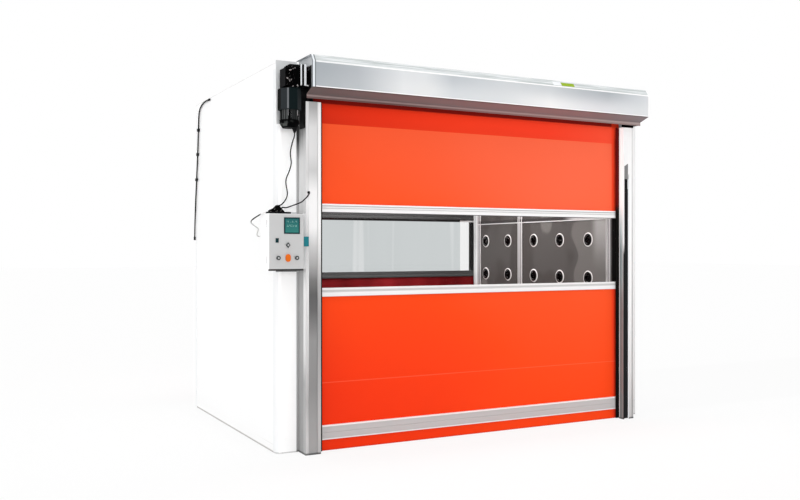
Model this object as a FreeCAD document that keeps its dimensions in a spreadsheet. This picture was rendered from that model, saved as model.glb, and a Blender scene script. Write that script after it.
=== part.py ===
import FreeCAD, Part
import math
import os

import Sketcher

# Walk-through air shower for goods: a cabin with nozzle walls and a roll-up door at each end.
# Millimetres, +Z up. The origin is on the floor at the middle of the cabin's footprint,
# +X is to the right as seen from the front door, and -Y points out of the front door.

os.makedirs("parts", exist_ok=True)
doc = FreeCAD.newDocument("air_shower")

# Driving dimensions, kept in the sheet under these names.
SIZES = {
    # Cabin body
    "cabin_width": 3016,
    "cabin_depth": 1980,
    "cabin_height": 2500,
    "wall_thickness": 40,
    "roof_thickness": 40,
    "corner_radius": 40,
    "post_size": 60,
    "sill_height": 50,
    "jamb_thickness": 25,
    "floor_thickness": 5,
    "floor_bolt_inset": 110,
    "floor_bolt_radius": 7,
    "jamb_reach": 246,
    # Inner walls and ceiling
    "nozzle_wall_gap": 8,
    "nozzle_wall_sheet": 4,
    "grille_top": 600,
    "grille_border": 60,
    "grille_bar": 16,
    "grille_bars": 9,
    "wall_post_width": 46,
    "wall_rail_height": 34,
    "wall_rail_level": 1560,
    "ceiling_drop": 210,
    "ceiling_sheet": 15,
    "light_length": 1500,
    "light_width": 160,
    "light_drop": 30,
    "light_offset": 480,
    # Nozzles
    "nozzle_first_row": 765,
    "nozzle_row_pitch": 310,
    "nozzle_rows": 4,
    "nozzle_bore": 34,
    "nozzle_throat": 46,
    "nozzle_flange": 58,
    "nozzle_flange_height": 9,
    "nozzle_depth": 22,
    "nozzle_front_inset": 288,
    "nozzle_rear_inset": 132,
    "nozzle_group_gap": 30,
    # Air handling behind the nozzle walls
    "filter_frame": 69,
    "filter_level": 645,
    "filter_half_length": 890,
    "prefilter_depth": 46,
    "prefilter_half_length": 780,
    "prefilter_top": 590,
    "fan_casing_radius": 205,
    "fan_casing_width": 122,
    "fan_sheet": 3,
    "fan_offset": 338,
    "fan_inlet_radius": 95,
    "impeller_radius": 130,
    "impeller_inner_radius": 104,
    "impeller_width": 84,
    "impeller_blades": 20,
    "impeller_plate": 3,
    "fan_motor_radius": 62,
    "fan_motor_length": 60,
    "fan_shaft_radius": 8,
    "shaft_clearance": 0.05,
    # Door columns
    "column_overlap": 10,
    "column_width": 104,
    "column_depth": 123,
    "column_drop": 257,
    "column_chamber_wall": 6,
    "guide_depth": 34,
    "guide_front": 78,
    "guide_back": 32,
    "groove_width": 5,
    "groove_depth": 2.5,
    "groove_inset": 18,
    "groove_second": 76,
    "sensor_slot_lip": 12,
    "sensor_slot_width": 47,
    "sensor_slot_depth": 33,
    "sensor_slot_drop": 392,
    "sensor_slot_rise": 35,
    "sensor_head_height": 81,
    "brush_reach": 27,
    "brush_thickness": 8.7,
    "seat_clearance": 0.3,
    # Hood over the roller
    "hood_overhang": 16,
    "hood_reach": 274,
    "hood_rise": 16,
    "hood_chamfer_depth": 30,
    "hood_chamfer_height": 43,
    "hood_front_drop": 204,
    "hood_lip_reach": 180,
    "hood_lip_drop": 237,
    "hood_height": 262,
    "hood_sheet": 3,
    "end_plate_thickness": 8,
    "end_plate_inset": 18,
    "end_slot_near": 132,
    "end_slot_far": 192,
    "end_slot_half_height": 60,
    "bearing_boss_radius": 45,
    "bearing_boss_length": 15,
    # Roller
    "drum_reach": 106,
    "journal_reach": 60,
    "drum_drop": 105,
    "drum_radius": 56.5,
    "drum_end_clearance": 6,
    "shaft_radius": 20,
    # Curtain and its rails
    "curtain_reach": 48,
    "curtain_thickness": 2,
    "curtain_edge_clearance": 11,
    "rail_end_clearance": 8,
    "rail_height": 56,
    "rail_thickness": 24,
    "rail_groove": 3,
    "lower_rail_level": 999,
    "upper_rail_level": 1545,
    "rear_window_raise": 45,
    "bottom_rail_level": 73,
    "bottom_rail_height": 94,
    "bottom_rail_thickness": 30,
    "hem_thickness": 10,
    "hem_level": 2,
    # Gear motor at the roller's end
    "gearbox_gap": 40,
    "gearbox_width": 63,
    "gearbox_depth": 130,
    "gearbox_below": 85,
    "gearbox_above": 67,
    "limit_box_width": 30,
    "motor_width": 136,
    "motor_offset": 47.5,
    "motor_body_height": 131,
    "fin_section_width": 118,
    "fin_section_height": 63,
    "fin_depth": 5,
    "fin_count": 20,
    "motor_cap_height": 48,
    "motor_cap_foot": 62,
    "bracket_sheet": 8,
    "bracket_gap": 2,
    "bracket_depth": 140,
    "bracket_below": 65,
    "bracket_above": 67,
    "torque_plate_height": 168,
    "torque_plate_near": 33,
    "torque_plate_far": 113,
    "backing_plate_overhang": 4,
    "backing_plate_rise": 10,
    "backing_plate_height": 405,
    "backing_plate_thickness": 8,
    # Control box
    "box_gap": 23,
    "box_width": 234,
    "box_bottom": 1180,
    "box_height": 348,
    "box_reach": 150,
    "box_door_depth": 30,
    "box_sheet": 3,
    "box_edge_radius": 6,
    "box_plate_thickness": 4,
    "hinge_radius": 3,
    "hinge_pin_radius": 1.5,
    "hinge_gap": 0.4,
    "hinge_height": 42,
    "hinge_inset": 40,
    "hinge_leaf": 1.5,
    "box_plate_margin": 18,
    "display_inset": 28,
    "display_width": 105,
    "display_level": 222,
    "display_height": 103,
    "display_proud": 3,
    "lock_inset": 168,
    "lock_width": 20,
    "lock_level": 167,
    "lock_height": 28,
    "button_level": 72,
    "open_button_level": 152,
    "up_button_inset": 171,
    "stop_button_inset": 108,
    "down_button_inset": 49,
    "button_radius": 13,
    "stop_button_radius": 16,
    "stop_button_stretch": 8,
    "open_button_half": 14,
    "button_proud": 8,
    "button_stem": 9,
    "button_clearance": 0.3,
    # Teal door sensor on the left column
    "sensor_wrap": 17,
    "sensor_overlap": 16,
    "sensor_level": 1324,
    "sensor_height": 62,
    "sensor_proud": 12,
    "sensor_side": 28,
    # Cables and their glands
    "gland_radius": 9,
    "entry_strip_height": 12,
    "gland_height": 22,
    "strip_gland_radius": 5,
    "strip_gland_length": 8,
    "sensor_gland_radius": 8,
    "sensor_gland_length": 8,
    "wall_gland_radius": 10,
    "wall_gland_length": 12,
    "supply_gland_reach": 28,
    "clip_passage": 60,
    "clip_clearance": 0.3,
    "clip_ear": 8,
    "limit_box_inset": 16,
    "limit_box_lift": 14,
    "limit_box_drop": 24,
    "motor_gland_radius": 17,
    "motor_gland_height": 27,
    "cable_radius": 4,
    "supply_cable_radius": 5.5,
    "supply_gland_wall": 3,
    "clip_length": 22,
    "clip_wall": 3,
}

sheet = doc.addObject("Spreadsheet::Sheet", "Sizes")
for line, (name, value) in enumerate(SIZES.items(), start=1):
    sheet.set(f"A{line}", name)
    sheet.set(f"B{line}", str(value))
    sheet.setAlias(f"B{line}", name)
doc.recompute()


class Size:
    """A length: its number now, and the expression on the sheet's cells that keeps it."""

    def __init__(self, value, text):
        self.value = value
        self.text = text

    def __add__(self, other):
        other = as_size(other)
        return Size(self.value + other.value, f"({self.text} + {other.text})")

    def __sub__(self, other):
        other = as_size(other)
        return Size(self.value - other.value, f"({self.text} - {other.text})")

    def __mul__(self, other):
        other = as_size(other)
        return Size(self.value * other.value, f"({self.text} * {other.text})")

    def __truediv__(self, other):
        other = as_size(other)
        return Size(self.value / other.value, f"({self.text} / {other.text})")

    def __neg__(self):
        return Size(-self.value, f"(0 - {self.text})")

    def __radd__(self, other):
        return as_size(other) + self

    def __rsub__(self, other):
        return as_size(other) - self

    def __rmul__(self, other):
        return as_size(other) * self


def as_size(value):
    """The value itself, or a plain number as a size with no cell behind it."""
    return value if isinstance(value, Size) else Size(float(value), repr(float(value)))


def cell(name):
    """The size that the sheet keeps under this name."""
    return Size(float(SIZES[name]), f"Sizes.{name}")


def bind(thing, prop, value):
    """Ties a property to an expression."""
    thing.setExpression(prop, as_size(value).text)


def span(low, high, side=1):
    """Two positions on the right-hand side, or their mirror image on the left."""
    return (as_size(low), as_size(high)) if side > 0 else (-as_size(high), -as_size(low))


def block(x, y, z):
    """A box between two positions along each axis."""
    box = doc.addObject("Part::Box", "Block")
    for prop, letter, (low, high) in zip(("Length", "Width", "Height"), "xyz", (x, y, z)):
        bind(box, prop, as_size(high) - low)
        bind(box, "Placement.Base." + letter, low)
    return box


TURNS = {
    "x": FreeCAD.Rotation(FreeCAD.Vector(0, 1, 0), 90),
    "y": FreeCAD.Rotation(FreeCAD.Vector(1, 0, 0), -90),
    "z": FreeCAD.Rotation(),
}


def rod(axis, radius, low, high, centre):
    """A round bar along an axis, between two positions, with its centre on the two other axes."""
    bar = doc.addObject("Part::Cylinder", "Rod")
    bind(bar, "Radius", radius)
    bind(bar, "Height", as_size(high) - low)
    bar.Placement.Rotation = TURNS[axis]
    bind(bar, "Placement.Base." + axis, low)
    for letter, place in zip([other for other in "xyz" if other != axis], centre):
        bind(bar, "Placement.Base." + letter, place)
    return bar


def coordinate(sketch, kind, line, place):
    """Ties one coordinate of a point of the sketch to an expression."""
    geometry, point = line
    if place.value == 0:
        axis = -2 if kind == "DistanceX" else -1
        sketch.addConstraint(Sketcher.Constraint("PointOnObject", geometry, point, axis))
        return
    index = sketch.addConstraint(Sketcher.Constraint(kind, -1, 1, geometry, point, place.value))
    sketch.setExpression(f"Constraints[{index}]", place.text)


def draw_outline(sketch, corners):
    """Draws a closed outline of straight lines, each corner tied to its expressions."""
    corners = [(as_size(x), as_size(y)) for x, y in corners]
    first = sketch.GeometryCount
    count = len(corners)
    for index, (x, y) in enumerate(corners):
        ahead = corners[(index + 1) % count]
        start = FreeCAD.Vector(x.value, y.value, 0)
        end = FreeCAD.Vector(ahead[0].value, ahead[1].value, 0)
        sketch.addGeometry(Part.LineSegment(start, end), False)
    for index in range(count):
        follower = first + (index + 1) % count
        sketch.addConstraint(Sketcher.Constraint("Coincident", first + index, 2, follower, 1))
    for index, (x, y) in enumerate(corners):
        coordinate(sketch, "DistanceX", (first + index, 1), x)
        coordinate(sketch, "DistanceY", (first + index, 1), y)


def draw_circle(sketch, x, y, radius):
    """Draws a circle whose centre and radius are tied to their expressions."""
    x, y, radius = as_size(x), as_size(y), as_size(radius)
    circle = Part.Circle(FreeCAD.Vector(x.value, y.value, 0), FreeCAD.Vector(0, 0, 1), radius.value)
    index = sketch.addGeometry(circle, False)
    coordinate(sketch, "DistanceX", (index, 3), x)
    coordinate(sketch, "DistanceY", (index, 3), y)
    bound = sketch.addConstraint(Sketcher.Constraint("Radius", index, radius.value))
    sketch.setExpression(f"Constraints[{bound}]", radius.text)


def new_sketch(body, plane, outlines=(), circles=()):
    """A sketch on one of the body's origin planes."""
    sketch = body.newObject("Sketcher::SketchObject", "Outline")
    support = [item for item in body.Origin.OriginFeatures if item.Role == plane][0]
    sketch.AttachmentSupport = [(support, "")]
    sketch.MapMode = "FlatFace"
    for corners in outlines:
        draw_outline(sketch, corners)
    for circle in circles:
        draw_circle(sketch, *circle)
    return sketch


PLANES = {"x": "YZ_Plane", "y": "XZ_Plane", "z": "XY_Plane"}


def extrusion(axis, low, high, outlines=(), circles=()):
    """A body padded along an axis between two positions. Across Y the outline is in X and Z."""
    body = doc.addObject("PartDesign::Body", "Extrusion")
    pad = body.newObject("PartDesign::Pad", "Pad")
    pad.Profile = new_sketch(body, PLANES[axis], outlines, circles)
    pad.Reversed = axis == "y"
    bind(pad, "Length", as_size(high) - low)
    bind(body, "Placement.Base." + axis, low)
    return body


def turned(axis, corners):
    """A body turned round the X axis from an outline of position along it and radius."""
    body = doc.addObject("PartDesign::Body", "Turned")
    sketch = new_sketch(body, "XY_Plane", [corners])
    revolution = body.newObject("PartDesign::Revolution", "Revolution")
    revolution.Profile = sketch
    revolution.ReferenceAxis = (sketch, ["H_Axis"])
    revolution.Angle = 360
    return body


def shift(thing, x=0, y=0, z=0):
    """Places a body or a boolean by expressions."""
    for letter, place in zip("xyz", (x, y, z)):
        bind(thing, "Placement.Base." + letter, place)
    return thing


def fused(*things):
    """One solid from several that touch or overlap."""
    union = doc.addObject("Part::MultiFuse", "Union")
    union.Shapes = list(things)
    union.Refine = True
    return union


def together(*things):
    """Several separate solids as one tool or group."""
    group = doc.addObject("Part::Compound", "Group")
    group.Links = list(things)
    return group


def cut(base, *tools):
    """The base less the tools."""
    result = doc.addObject("Part::Cut", "Cut")
    result.Base = base
    result.Tool = tools[0] if len(tools) == 1 else together(*tools)
    result.Refine = True
    return result


def rounded(thing, radius, wanted):
    """Rounds the straight edges of a shape whose middle point passes a test."""
    doc.recompute()
    edges = []
    for index, edge in enumerate(thing.Shape.Edges, start=1):
        middle = edge.valueAt((edge.FirstParameter + edge.LastParameter) / 2)
        if wanted(edge, middle):
            edges.append((index, radius.value, radius.value))
    fillet = doc.addObject("Part::Fillet", "Fillet")
    fillet.Base = thing
    fillet.Edges = edges
    return fillet


NODES = []
FRONT = "front"
REAR = "rear"


def node(label, *things, end=None):
    """One sub-part. A door's sub-part is made at the cabin's front face, with the outside at -Y."""
    group = doc.addObject("Part::Compound", label)
    group.Label = label
    group.Links = list(things)
    if end == FRONT:
        bind(group, "Placement.Base.y", -cell("cabin_depth") / 2)
    if end == REAR:
        group.Placement.Rotation = FreeCAD.Rotation(FreeCAD.Vector(0, 0, 1), 180)
        bind(group, "Placement.Base.y", cell("cabin_depth") / 2)
    NODES.append(group)
    return group


# Places that many sub-parts share
half_width = cell("cabin_width") / 2
half_depth = cell("cabin_depth") / 2
roof_underside = cell("cabin_height") - cell("roof_thickness")
wall_inner = half_width - cell("wall_thickness")
jamb_outer = half_width - cell("post_size")
inside_end = half_depth - cell("jamb_thickness")
post_line = half_depth - cell("post_size")
inner = half_width - cell("jamb_reach")
nozzle_face = inner + cell("nozzle_wall_gap")
nozzle_back = nozzle_face + cell("nozzle_wall_sheet")
clear = inner - cell("column_overlap")
column_outer = clear + cell("column_width")
seat = cell("seat_clearance")
guide_end = clear + cell("guide_depth")
column_top = cell("cabin_height") - cell("column_drop")
sensor_slot_top = column_top - cell("sensor_slot_drop")
sensor_strip_top = sensor_slot_top - cell("sensor_head_height")
ceiling_level = cell("cabin_height") - cell("ceiling_drop")
drum_level = cell("cabin_height") - cell("drum_drop")
hood_half = column_outer + cell("hood_overhang")
hood_top = cell("cabin_height") + cell("hood_rise")
hood_lip_top = hood_top - cell("hood_lip_drop")
hood_bottom = hood_top - cell("hood_height")
curtain_half = guide_end - cell("curtain_edge_clearance")
rail_half = guide_end - cell("rail_end_clearance")
gearbox_inner = hood_half + cell("gearbox_gap")
gearbox_outer = gearbox_inner + cell("gearbox_width") + cell("limit_box_width")
gearbox_bottom = drum_level - cell("gearbox_below")
motor_body_bottom = gearbox_bottom - cell("motor_body_height")
fin_section_bottom = motor_body_bottom - cell("fin_section_height")
motor_cap_bottom = fin_section_bottom - cell("motor_cap_height")
SIDES = (-1, 1)


def floor_plate():
    """Floor sheet between the sills, with an anchor hole near each corner."""
    x = inner - cell("floor_bolt_inset")
    y = inside_end - cell("floor_bolt_inset")
    corners = [(-inner, -inside_end), (inner, -inside_end), (inner, inside_end), (-inner, inside_end)]
    holes = [(x * a, y * b, cell("floor_bolt_radius")) for a in SIDES for b in SIDES]
    node("floor_plate", extrusion("z", 0, cell("floor_thickness"), [corners], holes))


def base_frame():
    """The two side sills, notched round the corner posts."""
    def sill(side):
        corners = [
            (inner, -inside_end), (jamb_outer, -inside_end), (jamb_outer, -post_line),
            (half_width, -post_line), (half_width, post_line), (jamb_outer, post_line),
            (jamb_outer, inside_end), (inner, inside_end),
        ]
        mirrored = [(x * side, y) for x, y in corners]
        return extrusion("z", 0, cell("sill_height"), [mirrored])
    node("base_frame", *[sill(side) for side in SIDES])


def outer_panels():
    """The two insulated side walls, between the corner posts."""
    for side, label in zip(SIDES, ("left_outer_panel", "right_outer_panel")):
        x = span(wall_inner, half_width, side)
        node(label, block(x, (-post_line, post_line), (cell("sill_height"), roof_underside)))


def corner_posts():
    """Four upright posts, each with its outer edge rounded."""
    posts = []
    for side in SIDES:
        for front in SIDES:
            post = block(
                span(jamb_outer, half_width, side), span(post_line, half_depth, front), (0, roof_underside)
            )
            edge_x = half_width.value * side
            edge_y = half_depth.value * front
            posts.append(rounded(
                post, cell("corner_radius"),
                lambda edge, at, x=edge_x, y=edge_y: abs(at.x - x) < 0.01 and abs(at.y - y) < 0.01,
            ))
    node("corner_posts", *posts)


def roof_panel():
    """The roof, rounded at its corners like the posts."""
    roof = block((-half_width, half_width), (-half_depth, half_depth), (roof_underside, cell("cabin_height")))
    upright = rounded(
        roof, cell("corner_radius"),
        lambda edge, at: abs(abs(at.x) - half_width.value) < 0.01 and abs(abs(at.y) - half_depth.value) < 0.01,
    )
    node("roof_panel", upright)


def door_frames():
    """At each end, two jambs and the lintel over the opening."""
    plates = []
    for front in SIDES:
        y = span(inside_end, half_depth, front)
        for side in SIDES:
            plates.append(block(span(inner, jamb_outer, side), y, (0, roof_underside)))
        plates.append(block((-inner, inner), y, (hood_bottom, roof_underside)))
    node("door_frames", *plates)


def nozzle_rows():
    """Heights of the nozzle rows."""
    first = cell("nozzle_first_row")
    return [first + cell("nozzle_row_pitch") * row for row in range(int(SIZES["nozzle_rows"]))]


def nozzle_columns():
    """Places of the nozzles along the wall: three before the divider post and two behind it."""
    front_inset, rear_inset = cell("nozzle_front_inset"), cell("nozzle_rear_inset")
    group_gap = cell("nozzle_group_gap")
    pitch = (inside_end * 2 - front_inset - rear_inset - group_gap) / 4
    near = [pitch * index + front_inset - inside_end for index in range(3)]
    far_start = near[-1] + pitch + group_gap
    return near + [far_start, far_start + pitch]


def nozzle_walls():
    """Inner wall sheets with a hole for each nozzle."""
    corners = [
        (-inside_end, cell("grille_top")), (inside_end, cell("grille_top")),
        (inside_end, ceiling_level), (-inside_end, ceiling_level),
    ]
    hole = cell("nozzle_throat") + seat
    holes = [(y, z, hole) for y in nozzle_columns() for z in nozzle_rows()]
    for side, label in zip(SIDES, ("left_nozzle_wall", "right_nozzle_wall")):
        low, high = span(nozzle_face, nozzle_back, side)
        node(label, extrusion("x", low, high, [corners], holes))


def nozzles():
    """One nozzle is turned, and its copies fill the holes of both walls."""
    tip = -cell("nozzle_flange_height")
    back = cell("nozzle_depth")
    corners = [
        (tip, cell("nozzle_bore")), (0, cell("nozzle_flange")), (0, cell("nozzle_throat")),
        (back, cell("nozzle_throat")), (back, cell("nozzle_bore")),
    ]
    master = turned("x", corners)
    doc.recompute()
    for side, label in zip(SIDES, ("left_nozzles", "right_nozzles")):
        rings = []
        for y in nozzle_columns():
            for z in nozzle_rows():
                ring = master.Shape.copy()
                if side < 0:
                    ring.rotate(FreeCAD.Vector(), FreeCAD.Vector(0, 0, 1), 180)
                ring.translate(FreeCAD.Vector(nozzle_face.value * side, y.value, z.value))
                rings.append(ring)
        row = doc.addObject("Part::Feature", "NozzleSet")
        row.Shape = Part.makeCompound(rings)
        node(label, row)


def wall_posts():
    """Trim on each nozzle wall: end posts, the divider post and a rail between them."""
    strips = []
    half_post = cell("wall_post_width") / 2
    columns = nozzle_columns()
    divider = (columns[2] + columns[3]) / 2
    first = -inside_end + half_post
    last = inside_end - half_post
    rail = (cell("wall_rail_level") - cell("wall_rail_height") / 2, cell("wall_rail_level") + cell("wall_rail_height") / 2)
    for side in SIDES:
        x = span(inner, nozzle_face, side)
        for centre in (first, divider, last):
            strips.append(block(x, (centre - half_post, centre + half_post), (cell("grille_top"), ceiling_level)))
        strips.append(block(x, (first + half_post, divider - half_post), rail))
        strips.append(block(x, (divider + half_post, last - half_post), rail))
    node("wall_posts", *strips)


def return_grilles():
    """Return-air grilles low on each wall: a frame with flat bars across it."""
    low, high = cell("sill_height"), cell("grille_top")
    border = cell("grille_border")
    count = int(SIZES["grille_bars"])
    field = high - low - border * 2
    gap = (field - cell("grille_bar") * count) / (count + 1)
    slots = []
    for index in range(count + 1):
        bottom = low + border + (gap + cell("grille_bar")) * index
        top = bottom + gap
        end = inside_end - border
        slots.append([(-end, bottom), (end, bottom), (end, top), (-end, top)])
    frame = [(-inside_end, low), (inside_end, low), (inside_end, high), (-inside_end, high)]
    grilles = []
    for side in SIDES:
        x = span(inner, nozzle_back, side)
        grilles.append(extrusion("x", x[0], x[1], [frame] + slots))
    node("return_grilles", *grilles)


def air_filters():
    """A coarse filter behind each grille, and a fine filter across each wall's air duct."""
    filters = []
    for side in SIDES:
        coarse = span(nozzle_back + seat, nozzle_back + seat + cell("prefilter_depth"), side)
        length = cell("prefilter_half_length")
        filters.append(block(coarse, (-length, length), (cell("sill_height"), cell("prefilter_top"))))
        fine = span(nozzle_back + seat, wall_inner - seat, side)
        length = cell("filter_half_length")
        level = cell("filter_level")
        filters.append(block(fine, (-length, length), (level, level + cell("filter_frame"))))
    node("air_filters", *filters)


fan_level = cell("sill_height") + cell("fan_casing_radius")
fan_near = nozzle_face + cell("fan_offset") / 5
fan_far = fan_near + cell("fan_casing_width")


def fan_housings():
    """In each side wall, a fan casing that blows up to the filter, with its motor on the far plate."""
    sheet_gap = cell("fan_sheet")
    radius = cell("fan_casing_radius")
    things = []
    for side in SIDES:
        outer_x = span(fan_near, fan_far, side)
        inner_x = span(fan_near + sheet_gap, fan_far - sheet_gap, side)
        top = cell("filter_level")
        drum = rod("x", radius, outer_x[0], outer_x[1], (0, fan_level))
        duct = block(outer_x, (0, radius), (fan_level, top))
        hollow = rod("x", radius - sheet_gap, inner_x[0], inner_x[1], (0, fan_level))
        channel = block(inner_x, (sheet_gap * 2, radius - sheet_gap), (fan_level, top + 1))
        mouth = span(fan_near - 1, fan_near + sheet_gap + 1, side)
        inlet = rod("x", cell("fan_inlet_radius"), mouth[0], mouth[1], (0, fan_level))
        things.append(cut(fused(drum, duct), fused(hollow, channel), inlet))
        motor_x = span(fan_far - sheet_gap - cell("fan_motor_length"), fan_far - sheet_gap, side)
        can = rod("x", cell("fan_motor_radius"), motor_x[0], motor_x[1], (0, fan_level))
        stub = span(fan_near + sheet_gap * 4, fan_far - sheet_gap - cell("fan_motor_length"), side)
        shaft = rod("x", cell("fan_shaft_radius"), stub[0], stub[1], (0, fan_level))
        things.append(fused(can, shaft))
    node("fan_housings", *things)


def impeller(side, label):
    """A drum impeller: back plate with hub, a ring of blades and a front ring."""
    plate = cell("impeller_plate")
    outer = cell("impeller_radius")
    near = cell("impeller_inner_radius")
    width = cell("impeller_width")
    hub = cell("fan_shaft_radius") + cell("shaft_clearance")
    body = doc.addObject("PartDesign::Body", "Impeller")
    disc = body.newObject("PartDesign::Pad", "BackPlate")
    disc.Profile = new_sketch(body, "YZ_Plane", circles=[(0, 0, outer), (0, 0, hub)])
    bind(disc, "Length", plate)
    blade = body.newObject("PartDesign::Pad", "Blade")
    half = plate / 2
    chord = [(near + 1, -half - 4), (near + 1, half - 4), (outer - 0.5, half + 4), (outer - 0.5, -half + 4)]
    sketch = new_sketch(body, "YZ_Plane", [chord])
    blade.Profile = sketch
    bind(blade, "Length", width)
    pattern = body.newObject("PartDesign::PolarPattern", "BladeRing")
    pattern.Originals = [blade]
    pattern.Axis = (sketch, ["N_Axis"])
    pattern.Angle = 360
    pattern.Occurrences = int(SIZES["impeller_blades"])
    body.Tip = pattern
    ring = body.newObject("PartDesign::Pad", "FrontRing")
    ring.Profile = new_sketch(body, "YZ_Plane", circles=[(0, 0, outer), (0, 0, near)])
    ring.Profile[0].AttachmentOffset = FreeCAD.Placement(
        FreeCAD.Vector(0, 0, width.value - plate.value), FreeCAD.Rotation()
    )
    ring.Profile[0].setExpression("AttachmentOffset.Base.z", (width - plate).text)
    bind(ring, "Length", plate)
    holder = together(body)
    start = fan_near + cell("fan_sheet") * 5
    if side < 0:
        holder.Placement.Rotation = FreeCAD.Rotation(FreeCAD.Vector(0, 0, 1), 180)
    shift(holder, start * side, 0, fan_level)
    node(label, holder)


def ceiling():
    """Inner ceiling sheet and its two flat lights."""
    level = ceiling_level
    sheet_top = level + cell("ceiling_sheet")
    node("ceiling_panel", block((-nozzle_back, nozzle_back), (-inside_end, inside_end), (level, sheet_top)))
    lights = []
    for side in SIDES:
        centre = cell("light_offset") * side
        half_light = cell("light_width") / 2
        lights.append(block(
            (centre - half_light, centre + half_light),
            (-cell("light_length") / 2, cell("light_length") / 2),
            (level - cell("light_drop"), level),
        ))
    node("ceiling_lights", *lights)


def column_outline(side):
    """Plan of a door column: guide slot in its inner face, two fine grooves in its front."""
    front = -cell("column_depth")
    groove = cell("groove_width")
    deep = front + cell("groove_depth")
    first = column_outer - cell("groove_inset")
    second = column_outer - cell("groove_second")
    slot_end = clear + cell("guide_depth")
    corners = [(clear, front)]
    for place in (second, first):
        corners += [(place - groove / 2, front), (place, deep), (place + groove / 2, front)]
    corners += [
        (column_outer, front), (column_outer, 0), (clear, 0),
        (clear, -cell("guide_back")), (slot_end, -cell("guide_back")),
        (slot_end, -cell("guide_front")), (clear, -cell("guide_front")),
    ]
    wall = cell("column_chamber_wall")
    hollow = [
        (slot_end + wall * 4, front + wall), (column_outer - wall, front + wall),
        (column_outer - wall, -wall), (slot_end + wall * 4, -wall),
    ]
    return [[(x * side, y) for x, y in outline] for outline in (corners, hollow)]


def plain_column(side):
    """A column that holds the curtain's edge in its guide slot."""
    return extrusion("z", 0, column_top, column_outline(side))


def slotted_column():
    """The right column: its front has a slot, cut slanting at the top, for the safety strip."""
    near = clear + cell("sensor_slot_lip")
    far = near + cell("sensor_slot_width")
    top = sensor_slot_top
    corners = [(near, -1), (far, -1), (far, top + cell("sensor_slot_rise")), (near, top)]
    front = -cell("column_depth")
    tool = extrusion("y", front - 1, front + cell("sensor_slot_depth"), [corners])
    return cut(plain_column(1), tool)


def columns():
    """The two front columns, and the rear pair."""
    node("front_left_column", plain_column(-1), end=FRONT)
    node("front_right_column", slotted_column(), end=FRONT)
    node("rear_columns", plain_column(-1), plain_column(1), end=REAR)


def light_curtain():
    """Safety strip in the right column's slot, with its connector housing on top."""
    near = clear + cell("sensor_slot_lip") + seat
    far = clear + cell("sensor_slot_lip") + cell("sensor_slot_width") - seat
    back = -cell("column_depth") + cell("sensor_slot_depth")
    front = -cell("column_depth") + 5
    strip = block((near, far), (front, back), (cell("floor_thickness"), sensor_strip_top))
    head = block((near, far - 6), (front + 6, back), (sensor_strip_top, sensor_slot_top))
    node("light_curtain", strip, head, end=FRONT)


def guide_brushes():
    """Brush strips in the mouth of each guide slot, ahead of the curtain."""
    low = -cell("guide_front") + seat
    y = (low, low + cell("brush_thickness"))
    z = (cell("floor_thickness"), column_top)
    x = (clear - cell("brush_reach"), clear + cell("guide_depth") - seat)
    brushes = []
    for turn in (0, 180):
        pair = together(*[block(span(x[0], x[1], side), y, z) for side in SIDES])
        pair.Placement.Rotation = FreeCAD.Rotation(FreeCAD.Vector(0, 0, 1), turn)
        bind(pair, "Placement.Base.y", half_depth if turn else -half_depth)
        brushes.append(pair)
    node("guide_brushes", *brushes)


def hood_section():
    """Bent sheet section of the hood, from the cabin's face round the front to the lip."""
    reach, top = cell("hood_reach"), hood_top
    deep, tall = cell("hood_chamfer_depth"), cell("hood_chamfer_height")
    lip, sheet_gap = cell("hood_lip_reach"), cell("hood_sheet")
    low, lip_top, bottom = hood_top - cell("hood_front_drop"), hood_lip_top, hood_bottom
    outer = [
        (0, top), (deep - reach, top), (-reach, top - tall), (-reach, low), (-lip, lip_top), (-lip, bottom),
    ]
    back = [
        (sheet_gap - lip, bottom), (sheet_gap - lip, lip_top + sheet_gap * 0.75),
        (sheet_gap - reach, low + sheet_gap * 0.7), (sheet_gap - reach, top - tall - sheet_gap * 0.3),
        (deep - reach + sheet_gap * 0.52, top - sheet_gap), (0, top - sheet_gap),
    ]
    return outer + back


def hoods():
    """The hood over each roller."""
    half = hood_half
    for end in (FRONT, REAR):
        node(f"{end}_hood", extrusion("x", -half, half, [hood_section()]), end=end)


def end_plate(side):
    """Plate on the column's top that closes the hood's end and carries the roller's bearing."""
    outer = hood_half - cell("end_plate_inset")
    thickness = cell("end_plate_thickness")
    reach, top = cell("hood_reach"), hood_top
    deep, tall = cell("hood_chamfer_depth"), cell("hood_chamfer_height")
    gap = cell("hood_sheet") + seat
    lip = cell("hood_lip_reach")
    corners = [
        (0, column_top), (-cell("column_depth"), column_top), (-cell("column_depth"), hood_bottom),
        (gap - lip, hood_bottom), (gap - lip, hood_lip_top + gap), (gap - reach, top - cell("hood_front_drop") + gap),
        (gap - reach, top - tall - gap * 0.5), (deep - reach + gap * 0.7, top - gap), (0, top - gap),
    ]
    tall = cell("end_slot_half_height")
    slot = [
        (-cell("end_slot_far"), drum_level - tall), (-cell("end_slot_near"), drum_level - tall),
        (-cell("end_slot_near"), drum_level + tall), (-cell("end_slot_far"), drum_level + tall),
    ]
    x = span(outer - thickness, outer, side)
    sheet_part = extrusion("x", x[0], x[1], [corners, slot])
    axis = (-cell("drum_reach"), drum_level)
    boss_x = span(outer - thickness - cell("bearing_boss_length"), outer - thickness, side)
    boss = rod("x", cell("bearing_boss_radius"), boss_x[0], boss_x[1], axis)
    bore_x = span(outer - thickness - cell("bearing_boss_length") - 1, outer + 1, side)
    bore = rod("x", cell("shaft_radius") + cell("shaft_clearance"), bore_x[0], bore_x[1], axis)
    return cut(fused(sheet_part, boss), bore)


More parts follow.
